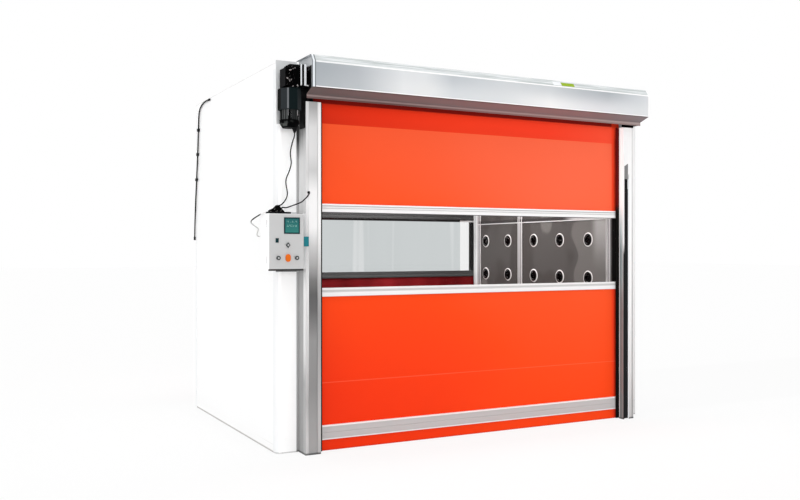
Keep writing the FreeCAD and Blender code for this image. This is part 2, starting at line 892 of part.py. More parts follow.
def hood_end_plates():
    """The four end plates, two to each door."""
    pairs = []
    for turn in (0, 180):
        pair = together(end_plate(-1), end_plate(1))
        pair.Placement.Rotation = FreeCAD.Rotation(FreeCAD.Vector(0, 0, 1), turn)
        bind(pair, "Placement.Base.y", half_depth if turn else -half_depth)
        pairs.append(pair)
    node("hood_end_plates", *pairs)


def drum(end):
    """Roller tube with a journal at each end; the left one runs on into the gearbox."""
    radius, journal = cell("drum_radius"), cell("shaft_radius")
    right_end = hood_half - cell("end_plate_inset")
    boss_end = right_end - cell("end_plate_thickness") - cell("bearing_boss_length")
    half = boss_end - cell("drum_end_clearance")
    left_end = gearbox_inner + cell("journal_reach")
    corners = [
        (-left_end, 0), (right_end, 0), (right_end, journal), (half, journal), (half, radius),
        (-half, radius), (-half, journal), (-left_end, journal),
    ]
    body = shift(turned("x", corners), 0, -cell("drum_reach"), drum_level)
    node(f"{end}_drum", body, end=end)


def curtain(end, raise_window):
    """Curtain sheets and window sheet between the rails, each as wide as the guides let it be."""
    width = curtain_half
    front = -cell("curtain_reach") - cell("curtain_thickness") / 2
    y = (front, front + cell("curtain_thickness"))
    lower = cell("lower_rail_level") + raise_window
    upper = cell("upper_rail_level") + raise_window
    tall = cell("rail_height")
    bottom = cell("bottom_rail_level") + cell("bottom_rail_height")
    node(f"{end}_upper_curtain", block((-width, width), y, (upper + tall, drum_level)), end=end)
    node(f"{end}_window", block((-width, width), y, (lower + tall, upper)), end=end)
    node(f"{end}_lower_curtain", block((-width, width), y, (bottom, lower)), end=end)


def rail_section(level, tall, thickness):
    """Section of a rail across the curtain, with a groove along its front and back."""
    groove = cell("rail_groove")
    near = -cell("curtain_reach") - thickness / 2
    far = near + thickness
    middle = level + tall / 2
    return [
        (near, level), (far, level), (far, middle - groove), (far - groove, middle),
        (far, middle + groove), (far, level + tall), (near, level + tall),
        (near, middle + groove), (near + groove, middle), (near, middle - groove),
    ]


def rails(end, raise_window):
    """The two window rails, and the bottom rail with the hem under it."""
    half = rail_half
    for name, level in (("lower", cell("lower_rail_level")), ("upper", cell("upper_rail_level"))):
        section = rail_section(level + raise_window, cell("rail_height"), cell("rail_thickness"))
        node(f"{end}_{name}_rail", extrusion("x", -half, half, [section]), end=end)
    level = cell("bottom_rail_level")
    section = rail_section(level, cell("bottom_rail_height"), cell("bottom_rail_thickness"))
    bar = extrusion("x", -half, half, [section])
    front = -cell("curtain_reach") - cell("hem_thickness") / 2
    width = curtain_half
    hem = block((-width, width), (front, front + cell("hem_thickness")), (cell("hem_level"), level))
    if end == FRONT:
        node("front_bottom_rail", bar, end=end)
        node("front_bottom_hem", hem, end=end)
    else:
        node("rear_bottom_rail", bar, hem, end=end)


def octagon(centre_x, centre_y, width):
    """Corners of a regular octagon, given its width across flats."""
    half = width / 2
    part = half * math.tan(math.radians(22.5))
    points = [
        (half, -part), (half, part), (part, half), (-part, half),
        (-half, part), (-half, -part), (-part, -half), (part, -half),
    ]
    return [(centre_x + x, centre_y + y) for x, y in points]


motor_x = -(gearbox_inner + cell("motor_offset"))
motor_y = -cell("drum_reach")


def gearbox():
    """Worm gearbox on the roller's journal, with the limit-switch box on its outer side."""
    outer, inside = gearbox_outer, gearbox_inner
    half = cell("gearbox_depth") / 2
    low, high = gearbox_bottom, drum_level + cell("gearbox_above")
    side_box = cell("limit_box_width")
    chamfer = 18
    section = [
        (motor_y - half, low), (motor_y + half, low), (motor_y + half, high - chamfer),
        (motor_y + half - chamfer, high), (motor_y - half + chamfer, high), (motor_y - half, high - chamfer),
    ]
    case = extrusion("x", -(outer - side_box), -inside, [section])
    near, far = motor_y - half + cell("limit_box_inset"), motor_y + half - cell("limit_box_inset")
    floor, roof = low + cell("limit_box_lift"), high - cell("limit_box_drop")
    small = [(near, floor), (far, floor), (far, roof), (near, roof)]
    limit_box = extrusion("x", -outer, -(outer - side_box), [small])
    bore = rod(
        "x", cell("shaft_radius") + cell("shaft_clearance"), -(inside + cell("journal_reach") + seat), -(inside - seat),
        (motor_y, drum_level),
    )
    return cut(fused(case, limit_box), bore)


def finned_section():
    """Finned lower part of the motor: ribs round a smaller octagon."""
    count = int(SIZES["fin_count"])
    tip = cell("fin_section_width") / 2
    root = tip - cell("fin_depth")
    corners = []
    for index in range(count):
        for share, radius in ((0.0, tip), (0.4, tip), (0.5, root), (0.9, root)):
            angle = math.tau * (index + share) / count
            corners.append((motor_x + radius * math.cos(angle), motor_y + radius * math.sin(angle)))
    return extrusion("z", fin_section_bottom, motor_body_bottom, [corners])


def motor_cap():
    """Fan cover at the motor's foot, narrower at its bottom."""
    top, bottom = fin_section_bottom, motor_cap_bottom
    cone = doc.addObject("Part::Cone", "Cone")
    bind(cone, "Radius1", cell("motor_cap_foot") * 0.72)
    bind(cone, "Radius2", cell("motor_cap_foot"))
    bind(cone, "Height", (top - bottom) * 0.55)
    shift(cone, motor_x, motor_y, bottom)
    collar = rod("z", cell("motor_cap_foot"), bottom + (top - bottom) * 0.55, top, (motor_x, motor_y))
    return fused(cone, collar)


def motor_body():
    """Motor can, finned section and fan cover."""
    can = extrusion(
        "z", motor_body_bottom, gearbox_bottom, [octagon(motor_x, motor_y, cell("motor_width"))]
    )
    return [can, finned_section(), motor_cap()]


def motor_bracket():
    """Two bearing plates joined by a web behind the journal, and the torque plate on the column."""
    thickness = cell("bracket_sheet")
    half = cell("bracket_depth") / 2
    y = (motor_y - half, motor_y + half)
    z = (drum_level - cell("bracket_below"), drum_level + cell("bracket_above"))
    outer = gearbox_inner - thickness
    near = hood_half + cell("bracket_gap")
    plates = [block((-outer - thickness, -outer), y, z), block((-near - thickness, -near), y, z)]
    web = block((-outer, -near - thickness), (motor_y + half - thickness, motor_y + half), z)
    passage = rod(
        "x", cell("shaft_radius") + 4, -outer - thickness - 1, -near + 1, (motor_y, drum_level)
    )
    foot = block(
        (-near, -(hood_half - cell("end_plate_inset"))), (motor_y - half + 10, motor_y + half - 10),
        (z[0], z[0] + thickness),
    )
    yoke = cut(fused(plates[0], plates[1], web, foot), passage)
    torque = block(
        (-column_outer - thickness, -column_outer),
        (-cell("torque_plate_far"), -cell("torque_plate_near")),
        (column_top - cell("torque_plate_height"), column_top),
    )
    return [yoke, torque]


def gear_motors():
    """The front door's drive in its separate sub-parts, and the rear door's as one."""
    node("motor_gearbox", gearbox(), end=FRONT)
    node("motor_body", *motor_body(), end=FRONT)
    node("motor_bracket", *motor_bracket(), end=FRONT)
    node("rear_gearmotor", gearbox(), *motor_body(), *motor_bracket(), end=REAR)


def mounting_plates():
    """Sheet behind the motor and sheet behind the control box, on the cabin's front face."""
    x = (-half_width - cell("backing_plate_overhang"), -hood_half - seat)
    top = cell("cabin_height") + cell("backing_plate_rise")
    behind_motor = block(x, (-cell("backing_plate_thickness"), 0), (top - cell("backing_plate_height"), top))
    margin = cell("box_plate_margin")
    behind_box = block(
        x, (-cell("box_plate_thickness"), 0), (cell("box_bottom") - margin, cell("box_bottom") + cell("box_height") + margin)
    )
    node("mounting_plates", behind_motor, behind_box, end=FRONT)


box_inner = column_outer + cell("box_gap")
box_x = (-box_inner - cell("box_width"), -box_inner)
box_z = (cell("box_bottom"), cell("box_bottom") + cell("box_height"))
box_front = -cell("box_reach")
box_split = box_front + cell("box_door_depth")
hinge_x = box_x[0] - cell("hinge_radius") - cell("hinge_gap")


def hinge_levels():
    """Bottom of each of the two hinges on the box's left."""
    return box_z[0] + cell("hinge_inset"), box_z[1] - cell("hinge_inset") - cell("hinge_height")


def knuckle(low, high, side):
    """One hinge knuckle and its leaf, on the shell's side (1) or the door's side (-1)."""
    gap = cell("hinge_gap")
    near, far = sorted((gap * side, (gap + cell("hinge_leaf")) * side), key=lambda size: size.value)
    return [
        rod("z", cell("hinge_radius"), low, high, (hinge_x, box_split)),
        block((hinge_x, box_x[0] + seat), (box_split + near, box_split + far), (low, high)),
    ]


def shell_hinges():
    """Pins with the upper and lower knuckle of each hinge."""
    pieces = []
    third = cell("hinge_height") / 3
    for low in hinge_levels():
        high = low + cell("hinge_height")
        pieces.append(rod("z", cell("hinge_pin_radius"), low, high, (hinge_x, box_split)))
        pieces += knuckle(low, low + third, 1)
        pieces += knuckle(high - third, high, 1)
    return pieces


def door_hinges():
    """Middle knuckle of each hinge, and the bores that run on the pins."""
    pieces, bores = [], []
    third, gap = cell("hinge_height") / 3, cell("hinge_gap")
    bore = cell("hinge_pin_radius") + cell("hinge_gap") / 2
    for low in hinge_levels():
        bottom, top = low + third + gap, low + third * 2 - gap
        pieces += knuckle(bottom, top, -1)
        bores.append(rod("z", bore, bottom - seat, top + seat, (hinge_x, box_split)))
    return pieces, bores


def control_box_shell():
    """Back of the control box: an open tray against its plate, with its hinge pins."""
    wall = cell("box_sheet")
    back = -cell("box_plate_thickness")
    case = block(box_x, (box_split + seat, back), box_z)
    hollow = block(
        (box_x[0] + wall, box_x[1] - wall), (box_split, back - wall), (box_z[0] + wall, box_z[1] - wall)
    )
    node("control_box_shell", cut(fused(case, *shell_hinges()), hollow), end=FRONT)


def button_places():
    """Name, place across the door and height of each round button."""
    level = box_z[0] + cell("button_level")
    middle = -box_inner - cell("stop_button_inset")
    return [
        ("up_button", -box_inner - cell("up_button_inset"), level),
        ("stop_button", middle, level),
        ("down_button", -box_inner - cell("down_button_inset"), level),
        ("open_button", middle, box_z[0] + cell("open_button_level")),
    ]


def control_box_door():
    """Hinged front of the control box, a shallow pan with a hole for each button's stem."""
    wall = cell("box_sheet")
    pan = block(box_x, (box_front, box_split), box_z)
    soft = rounded(
        pan, cell("box_edge_radius"),
        lambda edge, at: abs(at.y - box_front.value) < 0.01,
    )
    hollow = block(
        (box_x[0] + wall, box_x[1] - wall), (box_front + wall, box_split + 1), (box_z[0] + wall, box_z[1] - wall)
    )
    holes = [
        rod("y", cell("button_stem") + cell("button_clearance"), box_front - 1, box_front + wall + 1, (x, z))
        for name, x, z in button_places()
    ]
    knuckles, bores = door_hinges()
    node("control_box_door", cut(fused(soft, *knuckles), hollow, *holes, *bores), end=FRONT)


def control_display():
    """Display window and the small key plate beside it, on the door's front."""
    y = (box_front - cell("display_proud"), box_front)
    def plate(name):
        near = -box_inner - cell(f"{name}_inset")
        level = box_z[0] + cell(f"{name}_level")
        return block((near - cell(f"{name}_width"), near), y, (level, level + cell(f"{name}_height")))
    screen = plate("display")
    key = plate("lock")
    node("control_display", screen, key, end=FRONT)


def button_head(name, x, z, front, back):
    """Cap of one button: a diamond, an upright oval or a round one."""
    if name == "open_button":
        half = cell("open_button_half")
        tall = half * 1.25
        return extrusion("y", front, back, [[(x, z - tall), (x + half, z), (x, z + tall), (x - half, z)]])
    if name == "stop_button":
        radius, stretch = cell("stop_button_radius"), cell("stop_button_stretch")
        return fused(
            rod("y", radius, front, back, (x, z - stretch)),
            rod("y", radius, front, back, (x, z + stretch)),
            block((x - radius, x + radius), (front, back), (z - stretch, z + stretch)),
        )
    return rod("y", cell("button_radius"), front, back, (x, z))


def buttons():
    """Push buttons: a cap outside the door and a stem through it."""
    back = box_front - 4
    front = back - cell("button_proud")
    for name, x, z in button_places():
        stem = rod("y", cell("button_stem"), back, box_front + cell("box_sheet") + 8, (x, z))
        node(name, fused(button_head(name, x, z, front, back), stem), end=FRONT)


def door_sensor():
    """Small sensor block folded round the left column's front edge."""
    front = -cell("column_depth")
    outer = -column_outer - cell("sensor_wrap")
    near = -column_outer + cell("sensor_overlap")
    corners = [
        (outer, front - cell("sensor_proud")), (near, front - cell("sensor_proud")),
        (near, front), (-column_outer, front), (-column_outer, front + cell("sensor_side")),
        (outer, front + cell("sensor_side")),
    ]
    level = cell("sensor_level")
    node("door_sensor", extrusion("z", level, level + cell("sensor_height"), [corners]), end=FRONT)


def tube(label, points, radius, end=None):
    """A cable: straight runs joined by arcs as large as the runs allow, swept by a circle."""
    points = [FreeCAD.Vector(*point) for point in points]
    edges = []
    length = 0.0
    radii = []
    start = points[0]
    for before, corner, after in zip(points, points[1:], points[2:]):
        back, ahead = before - corner, after - corner
        half_turn = (math.pi - back.getAngle(ahead)) / 2
        reach = 0.45 * min(back.Length, ahead.Length)
        radii.append(reach / math.tan(half_turn))
        arc_start = corner + back.normalize() * reach
        arc_end = corner + ahead.normalize() * reach
        inward = (back + ahead).normalize()
        depth = radii[-1] / math.cos(half_turn) - radii[-1]
        edges.append(Part.LineSegment(start, arc_start).toShape())
        edges.append(Part.Arc(arc_start, corner + inward * depth, arc_end).toShape())
        start = arc_end
    edges.append(Part.LineSegment(start, points[-1]).toShape())
    path = Part.Wire(edges)
    length = sum(edge.Length for edge in edges)
    direction = (points[1] - points[0]).normalize()
    ring = Part.Wire([Part.Circle(points[0], direction, radius).toShape()])
    solid = path.makePipeShell([ring], True, True)
    share = solid.Volume / (math.pi * radius ** 2 * length)
    print(f"{label}: length {length:.0f}, radii {[round(r) for r in radii]}, volume share {share:.4f}")
    feature = doc.addObject("Part::Feature", "Cable")
    feature.Shape = solid
    node(label, feature, end=end)


box_top = box_z[1].value
cable_exit = box_top + SIZES["gland_height"]
motor_exit = motor_cap_bottom.value - SIZES["motor_gland_height"]
column_side = -column_outer.value
MOTOR_DROP = 513
hang = (motor_exit - box_top) / MOTOR_DROP

# Cable routes at the front door: across from the left column's outer face, out of the cabin's
# face (-), and up from the top of the control box
MOTOR_GLAND = (-69, -106)
BOX_GLANDS = ((-228, -89), (-196, -89), (-152, -85))
ENTRY_STRIP = ((-246, -125), (-101, -64))
STRIP_GLAND = (-244, -88, 6)
SENSOR_ENTRY = (18, -123, 138)
WALL_ENTRY = (300, -136)

MOTOR_ROUTE = [
    (-69, -106, 513), (-69, -106, 489), (-80, -105, 464), (-91, -104, 421), (-97, -103, 389),
    (-93, -102, 351), (-88, -101, 323), (-94, -100, 294), (-104, -98, 262), (-118, -96, 234),
    (-124, -95, 205), (-120, -94, 173), (-112, -93, 142), (-112, -92, 118), (-121, -91, 92),
    (-146, -90, 60), (-173, -90, 48), (-196, -89, 44), (-196, -89, 22),
]
SENSOR_ROUTE = [
    (-152, -85, 22), (-152, -85, 36), (-142, -92, 42), (-124, -100, 38), (-98, -112, 48),
    (-64, -130, 62), (-34, -140, 75), (-16, -142, 92), (4, -144, 112), (14, -147, 128), (18, -143, 138), (18, -131, 138),
]
WALL_ROUTE = [
    (-252, -88, 6), (-264, -88, 6), (-276, -64, -2), (-284, -20, -14), (-291, 20, -25), (-296, 60, -38),
    (-290, 92, -47), (-276, 122, -55), (-252, 155, -65), (-224, 190, -76), (-198, 225, -84),
    (-184, 256, -96), (-185, 284, -118), (-178, 300, -136), (-164, 300, -136),
]


def laid(route, stretch=1):
    """Points of a route in the door's frame."""
    return [(column_side + across, out, box_top + up * stretch) for across, out, up in route]


def front_cables():
    """The three loose cables of the control box."""
    radius = SIZES["cable_radius"]
    tube("motor_cable", [*laid(MOTOR_ROUTE[:-1], hang), *laid(MOTOR_ROUTE[-1:])], radius, end=FRONT)
    tube("sensor_cable", laid(SENSOR_ROUTE), radius, end=FRONT)
    tube("wall_cable", laid(WALL_ROUTE), radius, end=FRONT)


# Route of the supply cable on the left wall: forward of its rear edge, and down from the roof's top
SUPPLY_ROUTE = [
    (438, 16), (390, 14), (335, 14), (278, 20), (230, 32), (190, 50), (164, 76), (152, 110), (144, 170),
    (132, 267), (122, 370), (110, 460), (92, 560), (74, 680), (54, 786), (40, 900), (29, 1000), (24, 1090),
]


def supply_route():
    """Points of the supply cable, along the left wall's top edge and down near its rear edge."""
    x = -half_width.value - SIZES["supply_cable_radius"] - SIZES["supply_gland_wall"] - 0.3
    rear, roof = half_depth.value, SIZES["cabin_height"]
    return [(x, rear - inset, roof - drop) for inset, drop in SUPPLY_ROUTE]


def supply_cable():
    """The supply cable, held to the wall all the way."""
    tube("supply_cable", supply_route(), SIZES["supply_cable_radius"])


def stub(place, direction, radius, length):
    """A short round gland from a point along a direction."""
    feature = doc.addObject("Part::Feature", "Gland")
    feature.Shape = Part.makeCylinder(
        radius, length, FreeCAD.Vector(*place), FreeCAD.Vector(*direction)
    )
    return feature


def cable_glands():
    """Glands on the box's top, under the motor and where cables enter, and the supply cable's clips."""
    radius, height = SIZES["gland_radius"], SIZES["gland_height"]
    face = -half_depth.value
    (near, out), (far, rear) = ENTRY_STRIP
    strip = SIZES["entry_strip_height"]
    plate = doc.addObject("Part::Feature", "Gland")
    plate.Shape = Part.makeBox(
        far - near, rear - out, strip, FreeCAD.Vector(column_side + near, out + face, box_top)
    )
    x, y, z = STRIP_GLAND
    glands = [plate, stub((column_side + x, y + face, box_top + z), (-1, 0, 0), SIZES["strip_gland_radius"], SIZES["strip_gland_length"])]
    for x, y in BOX_GLANDS:
        glands.append(stub((column_side + x, y + face, box_top + strip), (0, 0, 1), radius, height - strip))
    cone = doc.addObject("Part::Feature", "Gland")
    cone.Shape = Part.makeCone(
        SIZES["cable_radius"] + 3, SIZES["motor_gland_radius"], SIZES["motor_gland_height"],
        FreeCAD.Vector(column_side + MOTOR_GLAND[0], MOTOR_GLAND[1] + face, motor_exit),
    )
    glands.append(cone)
    x, y, z = SENSOR_ENTRY
    glands.append(stub((column_side + x, y + face, box_top + z), (0, -1, 0), SIZES["sensor_gland_radius"], SIZES["sensor_gland_length"]))
    y, z = WALL_ENTRY
    glands.append(stub((-half_width.value, y + face, box_top + z), (-1, 0, 0), SIZES["wall_gland_radius"], SIZES["wall_gland_length"]))
    thick = SIZES["supply_cable_radius"]
    supply = thick + SIZES["supply_gland_wall"]
    wall = -half_width.value
    start = supply_route()[0]
    finish = supply_route()[-1]
    glands.append(stub((start[0], start[1], start[2]), (0, -1, 0), supply, SIZES["supply_gland_reach"]))
    glands.append(stub((finish[0], finish[1], finish[2]), (0, 0, -1), supply, SIZES["supply_gland_reach"]))
    for low, high in zip(supply_route()[8:-4:2], supply_route()[9:-3:2]):
        centre = [(a + b) / 2 for a, b in zip(low, high)]
        clip = doc.addObject("Part::Feature", "Clip")
        half = SIZES["clip_length"] / 2
        outer = thick + SIZES["clip_wall"]
        ear = SIZES["clip_ear"]
        saddle = Part.makeBox(
            wall - centre[0] + outer, (outer + ear) * 2, half * 2,
            FreeCAD.Vector(centre[0] - outer, centre[1] - outer - ear, centre[2] - half),
        )
        along = (FreeCAD.Vector(*high) - FreeCAD.Vector(*low)).normalize()
        reach = SIZES["clip_passage"]
        passage = Part.makeCylinder(
            thick + SIZES["clip_clearance"], reach * 2, FreeCAD.Vector(*centre) - along * reach, along
        )
        clip.Shape = saddle.cut(passage)
        glands.append(clip)
    node("cable_glands", *glands)


def door(end, raise_window):
    """The moving parts of one roll-up door."""
    drum(end)
    curtain(end, raise_window)
    rails(end, raise_window)


floor_plate()
base_frame()
outer_panels()
corner_posts()
roof_panel()
door_frames()
nozzle_walls()
nozzles()
wall_posts()
return_grilles()
air_filters()
fan_housings()
impeller(-1, "left_fan_impeller")
impeller(1, "right_fan_impeller")
ceiling()
columns()
light_curtain()
guide_brushes()
hoods()
hood_end_plates()
door(FRONT, as_size(0))
door(REAR, cell("rear_window_raise"))
gear_motors()
mounting_plates()
control_box_shell()
control_box_door()
control_display()
buttons()
door_sensor()
front_cables()
supply_cable()
cable_glands()

doc.recompute()
for thing in doc.Objects:
    if "Invalid" in thing.State or "Error" in thing.State:
        raise RuntimeError(f"{thing.Label} did not build: {thing.State}")
for sub_part in NODES:
    if sub_part.Shape.isNull() or not sub_part.Shape.isValid() or not sub_part.Shape.Solids:
        raise RuntimeError(f"{sub_part.Label} has no valid solid")
for sub_part in NODES:
    sub_part.Shape.exportStep(f"parts/{sub_part.Label}.step")
print(len(NODES), "sub-parts")
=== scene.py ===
import logging
import math
import random
from dataclasses import dataclass
from enum import Enum
from typing import Callable, Mapping, Sequence

import bmesh
import bpy
from mathutils import Matrix, Vector


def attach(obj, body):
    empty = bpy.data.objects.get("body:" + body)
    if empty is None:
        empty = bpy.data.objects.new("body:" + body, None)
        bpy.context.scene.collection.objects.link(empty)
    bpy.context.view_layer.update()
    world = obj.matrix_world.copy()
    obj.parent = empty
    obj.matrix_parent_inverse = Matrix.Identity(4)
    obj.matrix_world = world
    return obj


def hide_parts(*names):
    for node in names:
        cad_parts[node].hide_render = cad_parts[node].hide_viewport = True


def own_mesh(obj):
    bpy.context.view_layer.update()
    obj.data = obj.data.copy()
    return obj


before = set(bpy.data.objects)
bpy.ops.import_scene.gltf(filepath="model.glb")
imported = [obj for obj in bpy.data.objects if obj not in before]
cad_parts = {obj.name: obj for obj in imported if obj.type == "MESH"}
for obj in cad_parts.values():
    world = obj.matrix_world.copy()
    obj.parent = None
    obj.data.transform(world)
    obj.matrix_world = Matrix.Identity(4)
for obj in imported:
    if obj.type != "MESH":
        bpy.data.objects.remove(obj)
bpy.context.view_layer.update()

log = logging.getLogger("air_shower")

Point = tuple[float, float, float]
Flat = tuple[float, float]
Colour = tuple[float, float, float]
Stops = Sequence[tuple[float, Colour]]

HALF_DEPTH = 0.99
BLACK = (0.0, 0.0, 0.0)


def srgb(red: int, green: int, blue: int) -> Colour:
    """Linear colour of an everyday 0 to 255 colour.

    Args:
        red: Red from 0 to 255.
        green: Green from 0 to 255.
        blue: Blue from 0 to 255.

    Returns:
        The three linear values that a shader takes.
    """
    def linear(value: int) -> float:
        """One channel made linear."""
        share = value / 255
        return share / 12.92 if share <= 0.04045 else ((share + 0.055) / 1.055) ** 2.4
    return linear(red), linear(green), linear(blue)


def grey(value: int) -> Colour:
    """Linear colour of a neutral grey from 0 to 255."""
    return srgb(value, value, value)


def tones(*stops: Sequence[float]) -> Stops:
    """Stops of a tone table.

    Args:
        stops: Place, then a grey or red, green and blue from 0 to 255, of each stop.

    Returns:
        The places with their linear colours.
    """
    return tuple((place, srgb(*(values * 3)[:3])) for place, *values in stops)


class Wire:
    """One output of a shader node, used like a number, a colour or a vector in an expression."""

    def __init__(self, maker: "Shader", socket: bpy.types.NodeSocket) -> None:
        """Wraps a socket.

        Args:
            maker: The shader whose node tree the socket is in.
            socket: The output socket.
        """
        self.maker = maker
        self.socket = socket

    def _math(self, operation: str, first: "Plug", second: "Plug" = None) -> "Wire":
        """Adds the node for one operation, by the kind of its sockets."""
        kinds = {item.socket.type for item in (first, second) if isinstance(item, Wire)}
        if "RGBA" in kinds:
            settings = {"data_type": "RGBA", "blend_type": operation}
            sockets = {"Factor": 1.0, 6: as_colour(first), 7: as_colour(second)}
            return self.maker.node("ShaderNodeMix", settings, sockets, 2)
        kind = "ShaderNodeVectorMath" if "VECTOR" in kinds else "ShaderNodeMath"
        values = {0: first} if second is None else {0: first, 1: second}
        return self.maker.node(kind, {"operation": operation}, values)

    def __add__(self, other: "Plug") -> "Wire":
        """Sum."""
        return self._math("ADD", self, other)

    def __radd__(self, other: "Plug") -> "Wire":
        """Sum, with the wire second."""
        return self._math("ADD", other, self)

    def __sub__(self, other: "Plug") -> "Wire":
        """Difference."""
        return self._math("SUBTRACT", self, other)

    def __rsub__(self, other: "Plug") -> "Wire":
        """Difference, with the wire second."""
        return self._math("SUBTRACT", other, self)

    def __mul__(self, other: "Plug") -> "Wire":
        """Product."""
        return self._math("MULTIPLY", self, other)

    def __rmul__(self, other: "Plug") -> "Wire":
        """Product, with the wire second."""
        return self._math("MULTIPLY", other, self)

    def __truediv__(self, other: "Plug") -> "Wire":
        """Quotient."""
        return self._math("DIVIDE", self, other)

    def __rtruediv__(self, other: "Plug") -> "Wire":
        """Quotient, with the wire second."""
        return self._math("DIVIDE", other, self)

    def __abs__(self) -> "Wire":
        """Size without its sign."""
        return self._math("ABSOLUTE", self)

    def ramp(self, low: float, high: float) -> "Wire":
        """A smooth step from 0 at low to 1 at high, in either order."""
        settings = {"interpolation_type": "SMOOTHSTEP"}
        if low < high:
            return self.maker.node("ShaderNodeMapRange", settings, {0: self, 1: low, 2: high})
        return 1.0 - self.maker.node("ShaderNodeMapRange", settings, {0: self, 1: high, 2: low})

    def band(self, low: float, high: float, soft: float) -> "Wire":
        """1 between low and high and 0 outside, with soft edges."""
        return self.ramp(low - soft, low + soft) * (1.0 - self.ramp(high - soft, high + soft))

    def colours(self, low: float, high: float, stops: Stops) -> "Wire":
        """Colour along the range from low to high.

        Args:
            low: Value at the first end of the stops.
            high: Value at their last end.
            stops: Places from low to high, each with its colour.

        Returns:
            The colour wire.
        """
        share = self.maker.node("ShaderNodeMapRange", {}, {0: self, 1: low, 2: high})
        spread = [((place - low) / (high - low), colour) for place, colour in stops]
        return self.maker.node("ShaderNodeValToRGB", {"stops": spread}, {0: share})


Plug = Wire | float | Colour | None


def as_colour(value: "Plug") -> "Wire | tuple[float, ...]":
    """A value that a colour socket takes: a number becomes a grey."""
    if isinstance(value, (int, float)):
        return (value, value, value, 1.0)
    if isinstance(value, tuple) and len(value) == 3:
        return (*value, 1.0)
    return value


class Shader:
    """Builds one material round a Principled shader."""

    def __init__(self, name: str) -> None:
        """Starts the material.

        Args:
            name: The material's name.
        """
        self.material = bpy.data.materials.new(name)
        self.material.use_nodes = True
        self.tree = self.material.node_tree
        self.surface = self.tree.nodes["Principled BSDF"]
        self._place: Wire | None = None

    def node(
        self,
        kind: str,
        settings: Mapping[str, object] | None = None,
        sockets: Mapping[int | str, "Plug"] | None = None,
        output: int | str = 0,
    ) -> Wire:
        """Adds any node.

        Args:
            kind: The node's type name.
            settings: Its settings, set first; "stops" fills a colour ramp.
            sockets: Values or wires of its inputs, by place or name.
            output: Which output is returned.

        Returns:
            The wire of that output.
        """
        made = self.tree.nodes.new(kind)
        for key, value in (settings or {}).items():
            if key == "stops":
                self._fill_ramp(made.color_ramp, value)
            else:
                setattr(made, key, value)
        for key, value in (sockets or {}).items():
            self.plug(made.inputs[key], value)
        return Wire(self, made.outputs[output])

    def _fill_ramp(self, ramp: bpy.types.ColorRamp, stops: Stops) -> None:
        """Puts the stops into a colour ramp."""
        while len(ramp.elements) < len(stops):
            ramp.elements.new(0.5)
        for element, (place, colour) in zip(ramp.elements, sorted(stops, key=lambda stop: stop[0])):
            element.position = min(max(place, 0.0), 1.0)
            element.color = (*colour, 1.0)

    def plug(self, socket: bpy.types.NodeSocket, value: "Plug") -> None:
        """Links a wire to an input, or writes a plain value into it."""
        if isinstance(value, Wire):
            self.tree.links.new(value.socket, socket)
            return
        if socket.type == "RGBA":
            value = as_colour(value)
        socket.default_value = value

    def set(self, **values: "Plug") -> None:
        """Sets inputs of the Principled shader, with underscores for the blanks in their names."""
        for key, value in values.items():
            self.plug(self.surface.inputs[key.replace("_", " ")], value)

    @property
    def place(self) -> Wire:
        """Position on the object at rest, in metres."""
        if self._place is None:
            self._place = self.node("ShaderNodeTexCoord", output="Object")
        return self._place

    def axis(self, name: str, vector: Wire | None = None) -> Wire:
        """One coordinate of a vector, the position by default."""
        vector = vector or self.place
        return self.node("ShaderNodeSeparateXYZ", {}, {0: vector}, "XYZ".index(name))

    @property
    def facing(self) -> Wire:
        """Direction that the surface faces, in the object's own axes."""
        return self.node("ShaderNodeTexCoord", output="Normal")

    def noise(self, scale: float, detail: float = 2.0, stretch: Point = (1.0, 1.0, 1.0)) -> Wire:
        """Soft noise from 0 to 1.

        Args:
            scale: Lumps to a metre.
            detail: Octaves of finer noise.
            stretch: Factor on each axis before the noise.

        Returns:
            The noise value.
        """
        where = self.place * stretch
        return self.node("ShaderNodeTexNoise", {}, {"Vector": where, "Scale": scale, "Detail": detail}, 0)

    def glow(self, share: "Plug", colour: "Plug") -> None:
        """Adds a colour's own light, by a share from 0 to 1."""
        self.set(Emission_Color=self.blend(share, BLACK, colour), Emission_Strength=1.0)

    def bump(self, height: Wire, depth: float, strength: float = 1.0) -> None:
        """Feeds the surface's normal from a height."""
        normal = self.node(
            "ShaderNodeBump", {}, {"Height": height, "Distance": depth, "Strength": strength}
        )
        self.set(Normal=normal)

    def blend(self, share: "Plug", first: "Plug", second: "Plug") -> Wire:
        """Mixes two colours or numbers by a share from 0 to 1."""
        colours = any(
            isinstance(item, tuple) or (isinstance(item, Wire) and item.socket.type == "RGBA")
            for item in (first, second)
        )
        if colours:
            sockets = {0: share, 6: as_colour(first), 7: as_colour(second)}
            return self.node("ShaderNodeMix", {"data_type": "RGBA"}, sockets, 2)
        return self.node("ShaderNodeMix", {"data_type": "FLOAT"}, {0: share, 2: first, 3: second}, 0)


@dataclass(frozen=True)
class Finish:
    """A finish: its name and how its shader is made."""

    name: str

    def material(self) -> bpy.types.Material:
        """The finish's material, made once."""
        found = bpy.data.materials.get(self.name)
        if found is not None and found.get("made"):
            return found
        shader = Shader(self.name)
        self.dress(shader)
        shader.material["made"] = True
        return shader.material

    def dress(self, shader: Shader) -> None:
        """Sets the shader up. Each kind of finish has its own."""
        raise NotImplementedError


